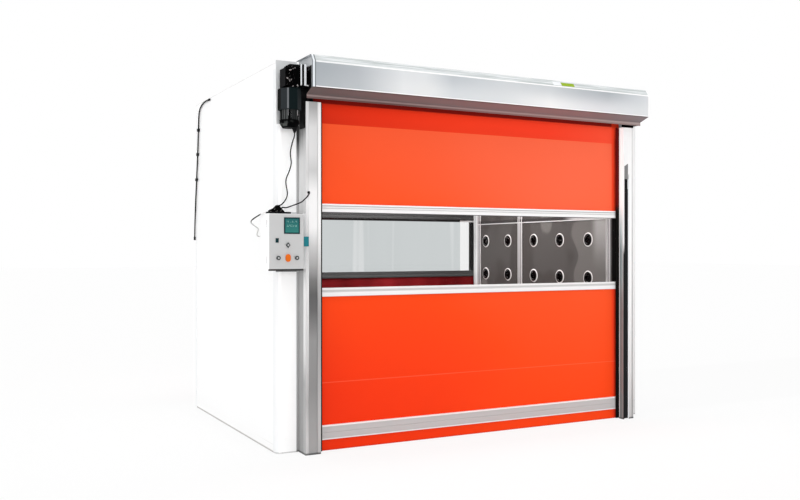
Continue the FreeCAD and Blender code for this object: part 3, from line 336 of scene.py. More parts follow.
@dataclass(frozen=True)
class Paint(Finish):
    """Powder-coated sheet, with fine orange-peel and faint unevenness."""

    colour: Colour
    roughness: float = 0.42
    grain: float = 900.0
    grain_depth: float = 0.00006
    coat: float = 0.0

    def dress(self, shader: Shader) -> None:
        """Sets colour, unevenness and orange-peel."""
        cloud = shader.noise(1.7, 3.0)
        shader.set(Base_Color=shader.blend(cloud * 0.05, self.colour, BLACK))
        shader.set(Roughness=self.roughness + (cloud - 0.5) * 0.12, Coat_Weight=self.coat)
        shader.bump(shader.noise(self.grain, 1.0), self.grain_depth)


@dataclass(frozen=True)
class Wall(Paint):
    """White outer wall, with painted shade lines along its top and rear edges, a painted contact shadow at
    the floor and a faint line at the skirting fold.
    """

    top: float = 2.5
    rear: float = 0.99
    skirt: float = 0.05

    def dress(self, shader: Shader) -> None:
        """Sets the coat, its painted shade lines and contact shadow, and the skirting line."""
        super().dress(shader)
        height, depth = shader.axis("Z"), shader.axis("Y")
        # Painted shade: darker lines along the top and rear edges, and a painted contact shadow at the
        # floor; the skirting fold gets a faint line.
        edge = height.band(self.top - 0.006, self.top + 0.01, 0.001) * 0.25
        edge = edge + depth.band(self.rear - 0.030, self.rear + 0.01, 0.001) * 0.85
        edge = edge + height.band(-0.01, 0.012, 0.001) * 0.8
        fold = height.band(self.skirt - 0.004, self.skirt + 0.003, 0.001)
        edge = edge + fold * depth.ramp(-0.5, -0.9) * 0.3
        shader.set(Base_Color=shader.blend(edge, self.colour, srgb(160, 160, 158)))


@dataclass(frozen=True)
class BoxPaint(Paint):
    """Light grey texture coat, white where the box's side catches the light, with painted highlights on its
    left and top edges and painted shade along its foot and underneath.
    """

    def dress(self, shader: Shader) -> None:
        """Sets the coat, its painted highlights, and its painted shade along the foot and underneath."""
        super().dress(shader)
        side = shader.axis("X", shader.facing).ramp(-0.5, -0.8)
        # Painted shade on the faces that look down.
        below = shader.axis("Z", shader.facing).ramp(-0.5, -0.8)
        height = shader.axis("Z")
        lit = shader.axis("X").ramp(-1.602, -1.611) * 0.6 + height.ramp(1.520, 1.527) * 0.5
        # Painted shade along the box's foot.
        foot = height.ramp(1.1855, 1.1820) * 0.7
        tone = shader.blend(lit, self.colour, grey(240))
        tone = shader.blend(foot, tone, grey(70))
        tone = shader.blend(side, tone, grey(255))
        shader.set(Base_Color=shader.blend(below, tone, grey(60)))


@dataclass(frozen=True)
class Jamb(Paint):
    """White front frame, greyer at the right of the door, with painted contact shade at the floor, a
    painted glow on its left front face and painted shade on its inner reveals.
    """

    reveal: float = 1.30
    right: float = 1.36

    def dress(self, shader: Shader) -> None:
        """Sets the coat, its right-hand tone, the painted contact shade and glow, and the painted shade in
        the reveals.
        """
        super().dress(shader)
        across, height, depth = shader.axis("X"), shader.axis("Z"), shader.axis("Y")
        front = depth.ramp(-0.980, -0.985)
        grey_side = height.colours(0.0, 2.3, tones((0.0, 212), (0.6, 222), (1.3, 240), (2.3, 236)))
        tone = shader.blend(across.ramp(self.right, self.right + 0.002) * front, self.colour, grey_side)
        tone = shader.blend(across.ramp(-1.30, -1.36) * front, tone, grey(255))
        line = across.band(-1.496, -1.490, 0.001) * 0.10 + across.band(-1.470, -1.464, 0.001) * 0.08
        tone = shader.blend(line * front, tone, grey(0))
        # Painted contact shade at the floor.
        foot = height.ramp(0.012, 0.005) * depth.ramp(-0.86, -0.90)
        tone = shader.blend(foot * 0.45, tone, srgb(120, 116, 112))
        # Painted light: a faint glow on the front face left of the door.
        lift = across.ramp(-1.35, -1.37) * front * (1.0 - foot) * 0.07
        shader.glow(lift, (1.0, 1.0, 1.0))
        # Painted shade in the inner reveals of the door opening.
        inside = abs(across).ramp(self.reveal + 0.001, self.reveal - 0.001) * depth.ramp(-0.90, -0.95)
        shader.set(Base_Color=shader.blend(inside, tone, srgb(16, 15, 15)))


@dataclass(frozen=True)
class PlatePaint(Paint):
    """Pale grey plates behind the motor and the box, with a painted highlight on the rim and painted shade
    below the box.
    """

    line: float = 1.181

    def dress(self, shader: Shader) -> None:
        """Sets the coat, its painted highlight on the rim and the painted shade below the box."""
        super().dress(shader)
        height, across = shader.axis("Z"), shader.axis("X")
        # Painted highlight along the plate's left rim.
        rim = across.ramp(-1.5035, -1.5065) * height.ramp(2.35, 2.25)
        tone = shader.blend(rim, self.colour, grey(252))
        # Painted shade below the box.
        shader.set(Base_Color=shader.blend(height.ramp(self.line + 0.01, self.line), tone, grey(132)))


@dataclass(frozen=True)
class Skirt(Paint):
    """White coat of the cabin's foot, with painted contact shade in its last centimetre."""

    def dress(self, shader: Shader) -> None:
        """Sets the coat, with painted contact shade at the floor."""
        super().dress(shader)
        # Painted contact shade: greyer in the last centimetre above the floor.
        dust_and_shade = shader.axis("Z").ramp(0.016, 0.004)
        shader.set(Base_Color=shader.blend(dust_and_shade * 0.8, self.colour, srgb(150, 144, 140)))


@dataclass(frozen=True)
class Brushed(Finish):
    """Brushed or drawn metal: grain along one axis, and soft tones."""

    colour: Colour
    grain: Point = (2.0, 260.0, 260.0)
    roughness: float = 0.32
    contrast: float = 0.16
    metallic: float = 0.9
    gloss: float = 0.5

    def tone(self, shader: Shader) -> "Plug":
        """Colour before the grain."""
        return self.colour

    def dress(self, shader: Shader) -> None:
        """Sets tone, grain and gloss."""
        lines = shader.noise(1.0, 2.0, self.grain)
        tone = shader.blend(lines * self.contrast, self.tone(shader), BLACK)
        shader.set(Base_Color=tone, Metallic=self.metallic, Specular_IOR_Level=self.gloss)
        shader.set(Roughness=self.roughness + (lines - 0.5) * 0.14)
        shader.bump(lines, 0.00005)


@dataclass(frozen=True)
class Zone:
    """One lengthwise zone of a drawn profile, and its tones up the height."""

    start: float
    tones: Stops


@dataclass(frozen=True)
class ColumnAlloy(Brushed):
    """Satin aluminium of the door columns, with painted reflections and painted shade in long bands over
    its facets, painted contact shade at the floor and, where set, a painted glow.

    The zones run over the profile from the outer side's rear edge to the inner edge of the
    front face. Their place is a path in metres: below 0 on the side, above 0 on the front.
    """

    zones: Sequence[Zone] = ()
    corner: Flat = (-1.356, -1.113)
    turn: float = 1.0
    lift: float = 0.0
    lift_low: Flat = (1.3, 1.8)
    lift_top: float = 3.0

    def tone(self, shader: Shader) -> "Plug":
        """Bands over the profile, each with its own tones up the height: painted reflections and painted
        shade.
        """
        height = shader.axis("Z")
        across = (shader.axis("X") - self.corner[0]) * self.turn
        depth = (shader.axis("Y") - self.corner[1]) * self.turn
        path = across - depth
        sway = (shader.noise(1.3, 1.0, (1.0, 1.0, 1.0)) - 0.5) * 0.12
        tone = None
        for zone in self.zones:
            shade = (height + sway).colours(0.0, 2.3, zone.tones)
            edge = path.ramp(zone.start - 0.001, zone.start + 0.001)
            tone = shade if tone is None else shader.blend(edge, tone, shade)
        # Painted contact shade at the floor.
        tone = shader.blend(height.ramp(0.018, 0.006) * 0.75, tone, grey(50))
        # Painted light: a glow over the side's front part between the given heights.
        if self.lift:
            share = path.band(-0.059, 0.0, 0.0006) * height.ramp(*self.lift_low) * self.lift
            share = share * height.ramp(self.lift_top + 0.006, self.lift_top)
            shader.glow(share, (0.98, 1.0, 1.0))
        return tone


@dataclass(frozen=True)
class HoodCoat(Finish):
    """Satin silver coat of the hood, with painted reflections in long soft tones and painted highlights
    along its bends.
    """

    upper: Stops = ()
    lower: Stops = ()
    end: float = 1.0
    bend: float = 2.473
    foot: float = 2.312
    lip: float = 2.279
    half_width: float = 1.372

    def dress(self, shader: Shader) -> None:
        """Sets the painted reflections of front, chamfer, underside and lip, the painted highlights on the
        bends, the lip and both end rims, and the painted shade in the crease under the foot.
        """
        along = shader.axis("X") * self.end
        height = shader.axis("Z")
        cloud = (shader.noise(1.1, 1.0) - 0.5) * 0.35
        share = (height + cloud * 0.2).ramp(self.bend - 0.01, self.foot + 0.01)
        wide = self.half_width + 0.03
        place = along + cloud
        # Front: painted reflections from the given tones.
        high = place.colours(-wide, wide, self.upper)
        front = shader.blend(share, high, place.colours(-wide, wide, self.lower))
        front = shader.blend(0.12, front, BLACK)
        fade = 1.0 - along.ramp(-0.9, -1.3) * 0.2
        # Painted highlights along the chamfer bend and the foot bend.
        line = height.band(self.bend - 0.007, self.bend + 0.001, 0.001) * fade
        front = shader.blend(height.band(self.foot, self.foot + 0.006, 0.001), front, grey(255))
        front = shader.blend(line, front, grey(255))
        streaks = shader.noise(1.0, 2.0, (3.0, 40.0, 160.0))
        chamfer = shader.blend(streaks.ramp(0.4, 0.62), srgb(190, 196, 196), srgb(228, 231, 232))
        tone = shader.blend(height.ramp(self.bend, self.bend + 0.002), front, chamfer)
        # Underside: painted reflections and painted shade.
        under = along.colours(-wide, wide, UNDERSIDE_TONES)
        # Painted shade in the crease just under the foot bend.
        crease = height.ramp(self.foot - 0.006, self.foot - 0.001) * 0.6
        under = shader.blend(crease, under, srgb(30, 24, 24))
        tone = shader.blend(height.ramp(self.foot + 0.001, self.foot - 0.001), tone, under)
        lip = along.colours(-wide, wide, LIP_TONES)
        # Painted highlight along the lip.
        shine = height.band(self.lip - 0.014, self.lip - 0.003, 0.002) * 0.25
        lip = shader.blend(shine, lip, srgb(214, 200, 198))
        tone = shader.blend(height.ramp(self.lip + 0.001, self.lip - 0.001), tone, lip)
        # Painted highlights and greyer bands on the end rims.
        for low, high, colour in END_RIMS:
            rim = along.band(low, high, 0.0006) * height.ramp(self.foot - 0.002, self.foot)
            tone = shader.blend(rim, tone, colour)
        shader.set(Base_Color=tone, Metallic=0.0, Roughness=0.5 + cloud * 0.1, Specular_IOR_Level=0.12)
        shader.bump(shader.noise(700.0, 1.0), 0.00004)


@dataclass(frozen=True)
class EndPlate(Finish):
    """Dark end plates of the hoods, grey along their front and with a painted highlight at the top."""

    front: float = 1.203
    crown: float = 2.452

    def dress(self, shader: Shader) -> None:
        """Sets the dark plate, its grey front strip, the painted highlight at the top and a fine skin."""
        strip = abs(shader.axis("Y")).ramp(self.front - 0.003, self.front + 0.003)
        streaks = shader.noise(1.0, 2.0, (20.0, 160.0, 6.0))
        edge = shader.blend(streaks * 0.5, srgb(150, 153, 156), srgb(96, 98, 100))
        # Painted highlight on the rounded top.
        crown = shader.blend(streaks * 0.3, srgb(206, 209, 212), srgb(150, 152, 154))
        tone = shader.blend(strip, (0.003, 0.003, 0.004), edge)
        tone = shader.blend(shader.axis("Z").ramp(self.crown, self.crown + 0.008), tone, crown)
        shader.set(Base_Color=tone, Roughness=0.45 + streaks * 0.1, Specular_IOR_Level=0.05)
        shader.bump(streaks, 0.00005)


# Tones of the hood's underside and lip: painted reflections and painted shade.
UNDERSIDE_TONES = tones(
    (-1.40, 102, 92, 90), (-1.05, 112, 102, 102), (-0.4, 128, 112, 112), (0.6, 142, 116, 116),
    (1.40, 126, 118, 120),
)
LIP_TONES = tones(
    (-1.40, 112, 92, 90), (-0.8, 104, 76, 74), (0.0, 138, 104, 102), (0.6, 148, 112, 108),
    (1.40, 154, 138, 136),
)
# Bands at the hood's ends: painted highlights on the end edges, with greyer bands between.
END_RIMS = (
    (-1.373, -1.368, srgb(120, 125, 130)),
    (-1.368, -1.3555, srgb(232, 237, 241)),
    (-1.3555, -1.348, srgb(125, 131, 135)),
    (1.3655, 1.373, grey(250)),
)


@dataclass(frozen=True)
class CurtainCloth(Finish):
    """Coated orange cloth: fine weave, faint sheen, slow folds of tone, painted light that grows towards
    the right and the top, and painted shade and glow below the hood.
    """

    shade_line: float = 2.121
    shade: float = 0.95
    lip: float = 2.251
    foot: float = 0.0
    outward: float = -1.0

    def dress(self, shader: Shader) -> None:
        """Sets the orange and its painted light over the door, the weave, the painted shade below the hood
        and beside the right guide, the painted highlight on the seam, the painted contact shade at the
        floor, the painted shade on the inner side and a painted glow in the shade.
        """
        across = shader.axis("X")
        height = shader.axis("Z")
        slow = shader.noise(0.8, 1.0)
        # Painted light: paler towards the right and the top, with slow random folds of tone.
        painted_light_share = across.ramp(-1.5, 1.1) * 0.35 + height.ramp(0.2, 2.0) * 0.65 + (slow - 0.5) * 0.25
        orange = painted_light_share.colours(0.0, 1.0, CLOTH_TONES)
        # Painted shade below the hood, darkest right under its lip.
        deep = across.colours(-1.3, 1.3, SHADE_TONES)
        deep = shader.blend(height.ramp(self.lip - 0.004, self.lip + 0.004), deep, srgb(140, 6, 3))
        shaded = height.ramp(self.shade_line - 0.002, self.shade_line + 0.002)
        tone = shader.blend(shaded * self.shade, orange, deep)
        # Painted shade: a deeper strip beside the right guide.
        tone = shader.blend(across.ramp(1.195, 1.210) * 0.9, tone, srgb(254, 66, 32))
        # Painted highlight along the welded seam.
        tone = shader.blend(height.band(SEAM - 0.003, SEAM + 0.003, 0.002) * 0.35, tone, srgb(255, 120, 90))
        # Painted contact shade at the floor.
        tone = shader.blend(height.ramp(self.foot + 0.012, self.foot) * 0.55, tone, srgb(150, 16, 4))
        # Painted shade: the cloth's inner side is a darker copy of its red.
        inner = shader.noise(1.0, 1.0, (5.0, 0.0, 0.3)).colours(0.3, 0.7, tones(
            (0.3, 92, 8, 12), (0.7, 138, 30, 34),
        ))
        side = (shader.axis("Y", shader.facing) * self.outward).ramp(-0.1, 0.1)
        tone = shader.blend(side, inner, tone)
        weave = shader.node(
            "ShaderNodeTexWave", {"wave_type": "BANDS", "bands_direction": "X"},
            {"Vector": shader.place, "Scale": 420.0}, 1,
        ) + shader.node(
            "ShaderNodeTexWave", {"wave_type": "BANDS", "bands_direction": "Z"},
            {"Vector": shader.place, "Scale": 420.0}, 1,
        )
        shader.set(Base_Color=tone, Roughness=0.55 + (slow - 0.5) * 0.1)
        shader.set(Sheen_Weight=0.0, Specular_IOR_Level=0.12)
        # Painted light: a faint glow in the shade below the hood.
        lift = height.ramp(self.shade_line, self.shade_line + 0.11) * 0.08 + 0.03
        lift = lift * shaded * side * height.ramp(self.lip, self.lip - 0.008)
        shader.glow(lift, deep)
        shader.bump(weave + shader.noise(6.0, 2.0) * 14.0, 0.00005)


SHADE_TONES = tones(
    (-1.3, 212, 40, 12), (-0.8, 232, 48, 18), (-0.2, 243, 56, 24), (0.6, 248, 60, 32),
    (1.3, 252, 80, 52),
)
SEAM = 0.441
# Cloth tones from the shaded left and foot to the lit right and top: painted light.
CLOTH_TONES = tones((0.0, 243, 52, 11), (0.35, 253, 72, 18), (0.65, 254, 86, 39), (1.0, 255, 109, 75))


@dataclass(frozen=True)
class ClearSheet(Finish):
    """Clear flexible sheet: lets light through, with a faint grey-green tint and gloss."""

    tint: Colour = (0.88, 0.885, 0.885)
    gloss: float = 0.02
    strips: Sequence[Flat] = ()
    hems: Sequence[Flat] = ()

    def dress(self, shader: Shader) -> None:
        """Mixes clear and glossy by the sheet's own ripples, with dark hems along its rails."""
        ripple = shader.noise(1.4, 2.0, (1.0, 1.0, 0.25))
        strip = 0.0
        for low, high in self.strips:
            strip = strip + shader.axis("X").band(low, high, 0.002)
        shader.set(Base_Color=shader.blend(strip, (0.02, 0.02, 0.02), (0.93, 0.93, 0.93)))
        shader.set(Roughness=0.12, Metallic=0.0, Specular_IOR_Level=0.5)
        shader.bump(ripple, 0.002, 0.6)
        clear = shader.node("ShaderNodeBsdfTransparent", {}, {"Color": self.tint})
        if self.strips:
            bare = shader.node("ShaderNodeBsdfTransparent", {}, {"Color": (1.0, 1.0, 1.0)})
            streaks = shader.noise(1.0, 1.0, (9.0, 1.0, 0.4)).ramp(0.56, 0.7) * 0.35
            clear = shader.node("ShaderNodeMixShader", {}, {0: strip + streaks, 1: clear, 2: bare})
        share = self.gloss + ripple.ramp(0.5, 0.8) * 0.03
        for low, high in self.hems:
            share = share + shader.axis("Z").band(low, high, 0.001)
        mixed = shader.node(
            "ShaderNodeMixShader", {}, {0: share, 1: clear, 2: Wire(shader, shader.surface.outputs[0])}
        )
        output = shader.tree.nodes["Material Output"]
        shader.tree.links.new(mixed.socket, output.inputs["Surface"])


@dataclass(frozen=True)
class RailAlloy(Brushed):
    """Clear aluminium of the door's rails, with a tone for each of its lengthwise faces: painted highlights
    on their bright edges and painted shade beneath and on the inner side.
    """

    bands: Stops = ()
    low: float = 0.0
    tall: float = 0.056
    outward: float = -1.0

    def tone(self, shader: Shader) -> "Plug":
        """Tones from the rail's foot to its top, with painted highlights and shade, and painted shade on
        the inner side.
        """
        height = shader.axis("Z")
        outer, inner = (
            height.colours(self.low, self.low + self.tall, tuple(
                (self.low + self.tall * share, colour) for share, colour in bands
            ))
            for bands in (self.bands, INNER_BANDS)
        )
        # Painted shade on the rail's inner side.
        side = (shader.axis("Y", shader.facing) * self.outward).ramp(-0.6, -0.4)
        return shader.blend(side, inner, outer)


@dataclass(frozen=True)
class Stainless(Brushed):
    """Inner wall sheet: brushed, with broad painted reflections and painted light near the front door."""

    def tone(self, shader: Shader) -> "Plug":
        """Warm grey with a few broad painted reflections, pale and dark, and painted light near the front
        door.
        """
        cloud = shader.noise(1.0, 1.5, (0.0, 1.9, 1.5))
        near = shader.axis("Y").ramp(0.1, -0.95) * 0.16
        pale = shader.blend((cloud + near).ramp(0.58, 0.61) * 0.8, self.colour, srgb(128, 124, 121))
        pale = shader.blend(cloud.ramp(0.46, 0.41) * 0.6, pale, srgb(76, 71, 69))
        # Painted light near the front door.
        glow = shader.axis("Y").ramp(-0.70, -0.80) * shader.axis("Z").ramp(1.10, 1.60)
        return shader.blend(glow * 0.75, pale, srgb(200, 197, 195))


@dataclass(frozen=True)
class RingMetal(Brushed):
    """Nozzle flanges: a bright outer rim, and dark where the cone rises towards the ball."""

    wall: float = 1.270
    rim: float = 0.0032

    def tone(self, shader: Shader) -> "Plug":
        """Bright within the rim's height above the wall, dark above it."""
        proud = self.wall - abs(shader.axis("X"))
        return shader.blend(proud.ramp(self.rim, self.rim + 0.0004), self.colour, srgb(14, 12, 12))


@dataclass(frozen=True)
class PostAlloy(Brushed):
    """Inner posts, lined by their grooves, and the wall rail with a painted highlight on its lower lip and
    painted light towards the front.
    """

    rail: Flat = (1.542, 1.578)
    lip: float = 0.009

    def tone(self, shader: Shader) -> "Plug":
        """Grooved posts, and a dark rail whose painted light turns it pale towards the front, with a
        painted highlight on its lower lip.
        """
        low, high = self.rail
        height, depth = shader.axis("Z"), shader.axis("Y")
        groove = shader.noise(1.0, 0.0, (0.0, 120.0, 0.0))
        post = shader.blend(groove.ramp(0.5, 0.56) * 0.5, self.colour, srgb(96, 91, 90))
        # Painted light on the rail towards the front door.
        near = depth.ramp(-0.35, -0.55)
        lining = shader.blend(near, srgb(70, 66, 66), srgb(206, 202, 202))
        # Painted highlight on the rail's lower lip.
        lining = shader.blend(height.band(low, low + self.lip, 0.001), lining, srgb(228, 226, 225))
        return shader.blend(height.band(low, high, 0.001), post, lining)


@dataclass(frozen=True)
class Moulded(Finish):
    """Moulded plastic or rubber with a fine skin."""

    colour: Colour
    roughness: float = 0.4
    grain: float = 1400.0
    grain_depth: float = 0.00005
    gloss: float = 0.1
    wear: float = 0.1

    def dress(self, shader: Shader) -> None:
        """Sets colour, skin and a little dust."""
        dust_and_shade = shader.noise(60.0, 3.0)
        shader.set(Base_Color=shader.blend(dust_and_shade * self.wear, self.colour, (0.35, 0.35, 0.35)))
        shader.set(Roughness=self.roughness + (dust_and_shade - 0.5) * 0.2, Specular_IOR_Level=self.gloss)
        shader.bump(shader.noise(self.grain, 1.0), self.grain_depth)


@dataclass(frozen=True)
class Bristle(Moulded):
    """Black guide brush, reddened by the cloth that runs in it above the window."""

    def dress(self, shader: Shader) -> None:
        """Sets the hair and the red tone of its upper part."""
        super().dress(shader)
        red = shader.axis("Z").ramp(1.60, 1.66) * 0.9
        shader.set(Base_Color=shader.blend(red, self.colour, srgb(96, 6, 6)))


@dataclass(frozen=True)
class GlandPlastic(Moulded):
    """Black glands, and white clips where they hold the cable on the wall."""

    wall: float = -1.508
    clip_top: float = 2.3

    def dress(self, shader: Shader) -> None:
        """Sets the black plastic, white on the side wall."""
        super().dress(shader)
        share = shader.axis("X").ramp(self.wall + 0.003, self.wall + 0.001)
        share = share * shader.axis("Z").ramp(self.clip_top, self.clip_top - 0.01)
        share = share * shader.axis("Y").band(-0.83, 0.6, 0.02)
        shader.set(Base_Color=shader.blend(share, self.colour, srgb(246, 246, 246)))


@dataclass(frozen=True)
class CableRubber(Moulded):
    """Rubber of the cable that lies on the white wall, pale where the wall's light washes it out."""

    def dress(self, shader: Shader) -> None:
        """Sets the rubber, its pale start at the box and its pale end."""
        super().dress(shader)
        depth = shader.axis("Y")
        start = depth.ramp(-1.045, -1.062)
        end = depth.ramp(-0.96, -0.86) * 0.9
        tone = shader.blend(end, self.colour, srgb(214, 214, 212))
        shader.set(Base_Color=shader.blend(start, tone, srgb(236, 236, 235)))


@dataclass(frozen=True)
class CastDark(Finish):
    """Dark blue-black paint on cast and turned metal, with painted light and shade on its facets by the way
    they face, painted highlights on edges, fins and the cap's rim, and painted glints.
    """

    colour: Colour = (0.006, 0.011, 0.012)
    glint: float = 0.0
    painted_glints: float = 0.0

    def dress(self, shader: Shader) -> None:
        """Sets the dark paint with a cast skin, its painted facet light and shade, painted highlights and
        painted glints.
        """
        lumps = shader.noise(140.0, 4.0)
        tone = shader.blend(lumps.ramp(0.62, 0.8) * 0.25, self.colour, (0.03, 0.035, 0.04))
        if self.glint:
            # Painted light and shade: each facet's tone is set by the way it faces.
            side = shader.axis("X", shader.facing)
            tone = shader.blend(side.ramp(-0.84, -0.90), tone, (0.0004, 0.0004, 0.0004))
            tone = shader.blend(side.band(-0.84, -0.4, 0.02) * self.glint, tone, (0.034, 0.038, 0.042))
            tone = shader.blend(side.band(0.4, 0.84, 0.02) * self.glint, tone, (0.034, 0.040, 0.042))
            height, across = shader.axis("Z"), shader.axis("X")
            # Painted light and shade on the gear housing above the body.
            box = shader.blend(side.ramp(-0.5, -0.8), (0.0008, 0.0008, 0.001), (0.004, 0.004, 0.005))
            tone = shader.blend(height.ramp(2.312, 2.318), tone, box)
            # Painted highlight along the octagon's edge.
            edge = across.band(-1.4965, -1.4885, 0.0008) * side.band(-0.84, -0.4, 0.02)
            tone = shader.blend(edge * height.band(2.182, 2.312, 0.001), tone, (0.15, 0.158, 0.17))
            # Painted light on the fins and painted glints below the body.
            fins = side.band(-0.95, -0.5, 0.03) * 0.9 + side.band(-0.1, 0.12, 0.05) * 0.3
            lower = shader.blend(fins, (0.0012, 0.0014, 0.0016), (0.085, 0.09, 0.09))
            glint_spots = shader.noise(38.0, 1.0).ramp(0.48, 0.56) * side.ramp(0.5, 0.7)
            lower = shader.blend(glint_spots, lower, (0.55, 0.55, 0.56))
            tone = shader.blend(height.ramp(2.1785, 2.1765), tone, lower)
            # Painted highlight round the cap's rim.
            rim = shader.noise(30.0, 2.0).ramp(0.42, 0.6) * side.ramp(0.2, -0.6)
            rim = rim * height.band(2.075, 2.108, 0.004)
            cap = shader.blend(rim, (0.0008, 0.0008, 0.001), (0.07, 0.075, 0.072))
            tone = shader.blend(height.ramp(2.1175, 2.1155), tone, cap)
        if self.painted_glints:
            # Painted glints: pale spots by noise.
            glint_spots = shader.noise(75.0, 1.0)
            tone = shader.blend(glint_spots.ramp(0.62, 0.68) * self.painted_glints, tone, (0.6, 0.56, 0.55))
        shader.set(Base_Color=tone, Metallic=0.0, Specular_IOR_Level=0.02)
        shader.set(Roughness=0.44 + lumps * 0.2)
        shader.bump(lumps, 0.0003)


@dataclass(frozen=True)
class BracketCoat(Finish):
    """Black bracket plates with pale front faces at their top."""

    def dress(self, shader: Shader) -> None:
        """Sets black sides and pale edges that face the front."""
        forward = shader.axis("Y", shader.facing).ramp(-0.6, -0.8)
        high = shader.axis("Z").ramp(2.318, 2.328)
        grain = shader.noise(90.0, 3.0)
        bright = shader.blend(grain * 0.2, grey(246), grey(180))
        shader.set(Base_Color=shader.blend(forward * high, (0.003, 0.003, 0.003), bright))
        shader.set(Roughness=0.45 + grain * 0.1, Specular_IOR_Level=0.08)
        shader.bump(grain, 0.0001)


@dataclass(frozen=True)
class Lamp(Finish):
    """Opal lamp face that glows evenly."""

    colour: Colour = (1.0, 1.0, 0.98)
    power: float = 1.6

    def dress(self, shader: Shader) -> None:
        """Sets an opal face with its own light."""
        cloud = shader.noise(8.0, 1.0)
        shader.set(Base_Color=shader.blend(cloud * 0.03, self.colour, (0.8, 0.85, 0.9)), Roughness=0.5)
        shader.set(Emission_Color=self.colour, Emission_Strength=self.power)


@dataclass(frozen=True)
class Screen(Finish):
    """Teal display behind glass, with plain blocks of light in it."""

    def dress(self, shader: Shader) -> None:
        """Sets the teal glow with a dark rim and a few soft plain blocks."""
        across = shader.axis("X")
        height = shader.axis("Z")
        rim = across.band(-1.5035, -1.4155, 0.001) * height.band(1.4105, 1.4965, 0.001)
        blocks = shader.noise(1.0, 0.0, (160.0, 1.0, 70.0)).ramp(0.56, 0.6)
        rows = height.band(1.472, 1.484, 0.001) + height.band(1.446, 1.460, 0.001)
        marks = blocks * rows * across.band(-1.494, -1.426, 0.002)
        tone = shader.blend(height.ramp(1.41, 1.50), srgb(48, 120, 114), srgb(36, 100, 100))
        glow = shader.blend(rim, srgb(10, 46, 50), shader.blend(marks * 0.38, tone, srgb(168, 214, 204)))
        shader.set(Base_Color=glow, Roughness=0.3, Specular_IOR_Level=0.15)


class Kind(Enum):
    """How a solid's faces are shaded."""

    SOFT = 38.0
    ROUND = 62.0


